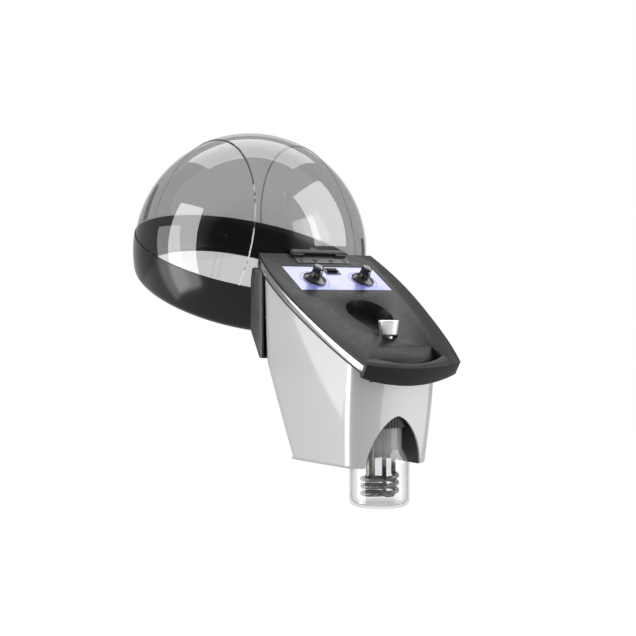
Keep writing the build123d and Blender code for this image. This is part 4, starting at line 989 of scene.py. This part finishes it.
def screw_nodes():
    """Node group that sets a cross-slot screw on every point, along the point's aim."""
    tree = bpy.data.node_groups.new("Screw set", "GeometryNodeTree")
    face = tree.interface
    face.new_socket("Geometry", in_out="INPUT", socket_type="NodeSocketGeometry")
    for name, value in SCREW_SIZES.items():
        face.new_socket(name, in_out="INPUT", socket_type="NodeSocketFloat").default_value = value
    face.new_socket("Material", in_out="INPUT", socket_type="NodeSocketMaterial")
    face.new_socket("Geometry", in_out="OUTPUT", socket_type="NodeSocketGeometry")
    w = Wiring(tree)
    given, result = w.node("NodeGroupInput").outputs, w.node("NodeGroupOutput")
    radius, height = given["Head Radius"], given["Head Height"]

    def shifted(mesh, up):
        move = w.node("ShaderNodeCombineXYZ", Z=up)
        return w.node("GeometryNodeTransform", Geometry=mesh, Translation=move.outputs[0]).outputs[0]

    top = w.calc("MULTIPLY", radius, 0.66)
    head = w.node("GeometryNodeMeshCone", Vertices=32, Radius_Bottom=radius, Radius_Top=top, Depth=height)
    shank = w.node(
        "GeometryNodeMeshCylinder", Vertices=20, Radius=given["Shank Radius"], Depth=given["Shank Length"]
    )
    slotted = w.node("GeometryNodeMeshBoolean", "DIFFERENCE", Mesh_1=head.outputs["Mesh"])
    slotted.solver = "EXACT"
    for long, short in (("X", "Y"), ("Y", "X")):
        size = w.node("ShaderNodeCombineXYZ", Z=w.calc("MULTIPLY", height, 1.1))
        w.feed(size.inputs[long], w.calc("MULTIPLY", radius, 1.15))
        w.feed(size.inputs[short], w.calc("MULTIPLY", radius, 0.25))
        bar = w.node("GeometryNodeMeshCube", Size=size.outputs[0])
        w.feed(slotted.inputs["Mesh 2"], shifted(bar.outputs["Mesh"], height))
    both = w.node("GeometryNodeJoinGeometry", Geometry=slotted.outputs["Mesh"])
    w.feed(both.inputs[0], shifted(shank.outputs["Mesh"], w.calc("MULTIPLY", given["Shank Length"], -0.5)))
    aim = w.node("GeometryNodeInputNamedAttribute", Name="aim")
    aim.data_type = "FLOAT_VECTOR"
    turn = w.node("FunctionNodeAlignRotationToVector", Vector=aim.outputs["Attribute"])
    turn.axis = "Z"
    points = w.node("GeometryNodeMeshToPoints", Mesh=given["Geometry"])
    place = w.node(
        "GeometryNodeInstanceOnPoints", Points=points.outputs[0], Instance=both.outputs[0], Rotation=turn.outputs[0]
    )
    real = w.node("GeometryNodeRealizeInstances", Geometry=place.outputs[0])
    colour = w.node("GeometryNodeSetMaterial", Geometry=real.outputs[0], Material=given["Material"])
    w.feed(result.inputs[0], colour.outputs[0])
    return tree


def screw_set(tree, node, body, slot, seats):
    """One object with a screw on every (point, aim) seat, in place of a node."""
    mesh = bpy.data.meshes.new(node)
    mesh.from_pydata([tuple(p) for p, _ in seats], [], [])
    aim = mesh.attributes.new("aim", "FLOAT_VECTOR", "POINT")
    for i, (_, direction) in enumerate(seats):
        aim.data[i].vector = direction
    obj = link(mesh, node + "_skin")
    modifier = obj.modifiers.new("screws", "NODES")
    modifier.node_group = tree
    for item in tree.interface.items_tree:
        if item.name == "Material":
            modifier[item.identifier] = finish_for(slot)
        elif item.name in SCREW_SIZES:
            modifier[item.identifier] = SCREW_SIZES[item.name]
    baked(obj)
    finish_piece(obj, body, finish_for(slot), [node], 30)


class STEAMER_OT_screws(bpy.types.Operator):
    """Set the screws of the hinge, the cover, the base and the hood's bracket"""

    bl_idname = "steamer.screws"
    bl_label = "Screws"

    def execute(self, context):
        tree = screw_nodes()
        square = on_panel(0, 0, 1) - on_panel(0, 0, 0)
        row = on_panel(0, PANEL_BACK / math.cos(SLOPE) - HINGE_SCREW_SETBACK, HINGE_LEAF_W)
        hinge = [(Vector((x * MM, row.y, row.z)), square) for x in HINGE_SCREW_XS]
        screw_set(tree, "hinge_screws", "housing", "cover_black", hinge)
        back, down = Vector((0, 1, 0)), Vector((0, 0, -1))
        cover = [(Vector((x * MM, COVER_BACK_Y, z * MM)), back) for x in COVER_SCREW_XS for z in COVER_SCREW_ZS]
        screw_set(tree, "cover_screws", "housing", "steel", cover)
        base = [(Vector((x * MM, BASE_SCREW_Y, 0)), down) for x in BASE_SCREW_XS]
        screw_set(tree, "base_screws", "housing", "steel", base)
        inside = []
        radius = HOOD_R - HOOD_WALL - 0.1 * MM
        for x in BRACKET_SCREW_XS:
            reach = math.sqrt(radius**2 - (x * MM) ** 2)
            for turn in BRACKET_SCREW_TURNS:
                a = math.radians(turn)
                seat = HOOD_CENTRE + Vector((x * MM, -reach * math.cos(a), -reach * math.sin(a)))
                inside.append((seat, (HOOD_CENTRE - seat).normalized()))
        screw_set(tree, "bracket_screws", "hood", "steel", inside)
        return {"FINISHED"}


# ---- panel and other carried-over nodes ---------------------------------------------------------------------
def softened(node, body, slot, width, angle=35):
    """A copy of a node with its hard edges rounded."""
    source = frame["nodes"][node]
    mesh = source.data.copy()
    bm = bmesh.new()
    bm.from_mesh(mesh)
    bmesh.ops.remove_doubles(bm, verts=bm.verts, dist=1e-6)
    bmesh.ops.dissolve_limit(bm, angle_limit=math.radians(1.0), verts=bm.verts, edges=bm.edges)
    bm.to_mesh(mesh)
    bm.free()
    obj = link(mesh, node + "_skin")
    bevel = obj.modifiers.new("edges", "BEVEL")
    bevel.width = width
    bevel.segments = 2
    bevel.limit_method = "ANGLE"
    bevel.angle_limit = math.radians(40)
    bevel.use_clamp_overlap = True
    baked(obj)
    return finish_piece(obj, body, finish_for(slot), [node], angle)


class STEAMER_OT_panel(bpy.types.Operator):
    """Round the edges of the control panel, its trims and the rear cover"""

    bl_idname = "steamer.panel"
    bl_label = "Panel"

    def execute(self, context):
        softened("control_panel", "housing", "panel_black", 0.8 * MM)
        softened("rear_cover", "housing", "cover_black", 0.8 * MM)
        for side in ("left", "right"):
            softened("side_trim_" + side, "housing", "bright_trim", 0.6 * MM)
        return {"FINISHED"}


class STEAMER_OT_frame_finish(bpy.types.Operator):
    """Give every carried-over node its finish"""

    bl_idname = "steamer.frame_finish"
    bl_label = "Frame finishes"

    def execute(self, context):
        slots = {s["node"]: s["material_slot"] for s in frame["record"]["subparts"]}
        for name, node in frame["nodes"].items():
            if name != "level_probe":
                node.data.materials.clear()
                node.data.materials.append(finish_for(slots[name]))
        return {"FINISHED"}


# ---- stage --------------------------------------------------------------------------------------------------
def softbox(name, azimuth, elevation, distance, width, height, power, roll=0.0, aim=HOOD_CENTRE):
    """Area light at a bearing from the hood, 0 being the operator's side and 90 the right."""
    a, e = math.radians(azimuth), math.radians(elevation)
    away = Vector((math.sin(a) * math.cos(e), -math.cos(a) * math.cos(e), math.sin(e)))
    light = bpy.data.lights.new(name, "AREA")
    light.shape = "RECTANGLE"
    light.size, light.size_y = width, height
    light.energy = power
    obj = bpy.data.objects.new(name, light)
    obj.visible_diffuse = False
    obj.location = aim + away * distance
    turned = (-away).to_track_quat("-Z", "Y").to_matrix() @ Matrix.Rotation(math.radians(roll), 3, "Z")
    obj.rotation_euler = turned.to_euler()
    bpy.context.scene.collection.objects.link(obj)


FLOOR_Z = -1.25
CAMERA_PLACE = (-0.9428, -1.3749, 0.2264)
CAMERA_AHEAD = Vector((0.54412, 0.83886, -0.01603))
CAMERA_SIDE = (-0.544, -0.839, 0.0)  # level bearing toward the camera, where the world is dark in reflections


class STEAMER_OT_stage(bpy.types.Operator):
    """Set up the pale floor, the soft lights and the camera"""

    bl_idname = "steamer.stage"
    bl_label = "Stage"

    def execute(self, context):
        floor = link(mesh_from("floor", *block(-9, 9, -9, 9, FLOOR_Z - 0.01, FLOOR_Z)), "floor")
        f = Finish("floor")
        f.set(Roughness=0.9, Specular_IOR_Level=0.0, Emission_Color=(1, 1, 1, 1), Emission_Strength=0.12)
        f.mottled((0.93, 0.93, 0.93), 0.8, 0.01)
        floor.data.materials.append(f.material)

        world = bpy.data.worlds.new("studio")
        context.scene.world = world
        world.use_nodes = True
        w = Wiring(world.node_tree)
        toward = w.node("ShaderNodeVectorMath", "DOT_PRODUCT")
        w.feed(toward.inputs[0], w.node("ShaderNodeTexCoord").outputs["Generated"])
        w.feed(toward.inputs[1], CAMERA_SIDE)
        ramp = w.node("ShaderNodeValToRGB")
        w.feed(ramp.inputs[0], toward.outputs["Value"])
        shades = ((0.55, (0.62, 0.62, 0.63, 1)), (0.80, (0.10, 0.10, 0.10, 1)))
        for element, (position, colour) in zip(ramp.color_ramp.elements, shades):
            element.position = position
            element.color = colour
        dim = w.node("ShaderNodeBackground", Color=ramp.outputs[0])
        bright = w.tree.nodes["Background"]
        bright.inputs["Color"].default_value = (1, 1, 1, 1)
        bright.inputs["Strength"].default_value = 1.0
        glossy = w.node("ShaderNodeLightPath").outputs["Is Glossy Ray"]
        w.feed(w.tree.nodes["World Output"].inputs["Surface"], w.mixed(glossy, bright.outputs[0], dim.outputs[0]))

        softbox("left box", -97, 2, 2.2, 1.25, 2.9, 80)
        softbox("right box", 52, 26, 2.4, 1.9, 2.0, 70)
        softbox("side box", -117.6, -4, 2.5, 1.28, 2.2, 28, roll=9, aim=Vector((0, 0, 0.15)))
        softbox("front box", 46, -10, 2.2, 1.5, 1.15, 14, roll=-14, aim=Vector((0, -0.1, 0.05)))
        softbox("top box", 150, 66, 2.4, 2.6, 1.6, 46)

        camera = bpy.data.cameras.new("camera")
        camera.lens = 65.9
        camera.sensor_width = 36
        obj = bpy.data.objects.new("camera", camera)
        obj.location = CAMERA_PLACE
        obj.rotation_euler = CAMERA_AHEAD.to_track_quat("-Z", "Y").to_euler()
        context.scene.collection.objects.link(obj)
        context.scene.camera = obj
        context.scene.view_settings.view_transform = "Standard"
        return {"FINISHED"}


class STEAMER_PT_panel(bpy.types.Panel):
    """Sidebar panel with the steamer's settings and build steps"""

    bl_label = "Steamer"
    bl_idname = "STEAMER_PT_panel"
    bl_space_type = "VIEW_3D"
    bl_region_type = "UI"
    bl_category = "Steamer"

    def draw(self, context):
        for name in SteamerSettings.__annotations__:
            self.layout.prop(context.scene.steamer, name)
        for operator in OPERATORS:
            self.layout.operator(operator.bl_idname)


OPERATORS = (
    STEAMER_OT_frame_finish,
    STEAMER_OT_housing,
    STEAMER_OT_hood,
    STEAMER_OT_boiler,
    STEAMER_OT_heater,
    STEAMER_OT_controls,
    STEAMER_OT_screws,
    STEAMER_OT_panel,
    STEAMER_OT_stage,
)
CLASSES = (SteamerSettings, *OPERATORS, STEAMER_PT_panel)


def register():
    """Register the classes and the scene's settings."""
    for item in CLASSES:
        bpy.utils.register_class(item)
    bpy.types.Scene.steamer = PointerProperty(type=SteamerSettings)


def unregister():
    """Remove the classes and the scene's settings."""
    del bpy.types.Scene.steamer
    for item in reversed(CLASSES):
        bpy.utils.unregister_class(item)


def main():
    """Build everything in order."""
    register()
    bpy.ops.steamer.frame_finish()
    bpy.ops.steamer.housing()
    bpy.ops.steamer.hood()
    bpy.ops.steamer.boiler()
    bpy.ops.steamer.heater()
    bpy.ops.steamer.controls()
    bpy.ops.steamer.screws()
    bpy.ops.steamer.panel()
    bpy.ops.steamer.stage()


if __name__ == "__main__":
    main()
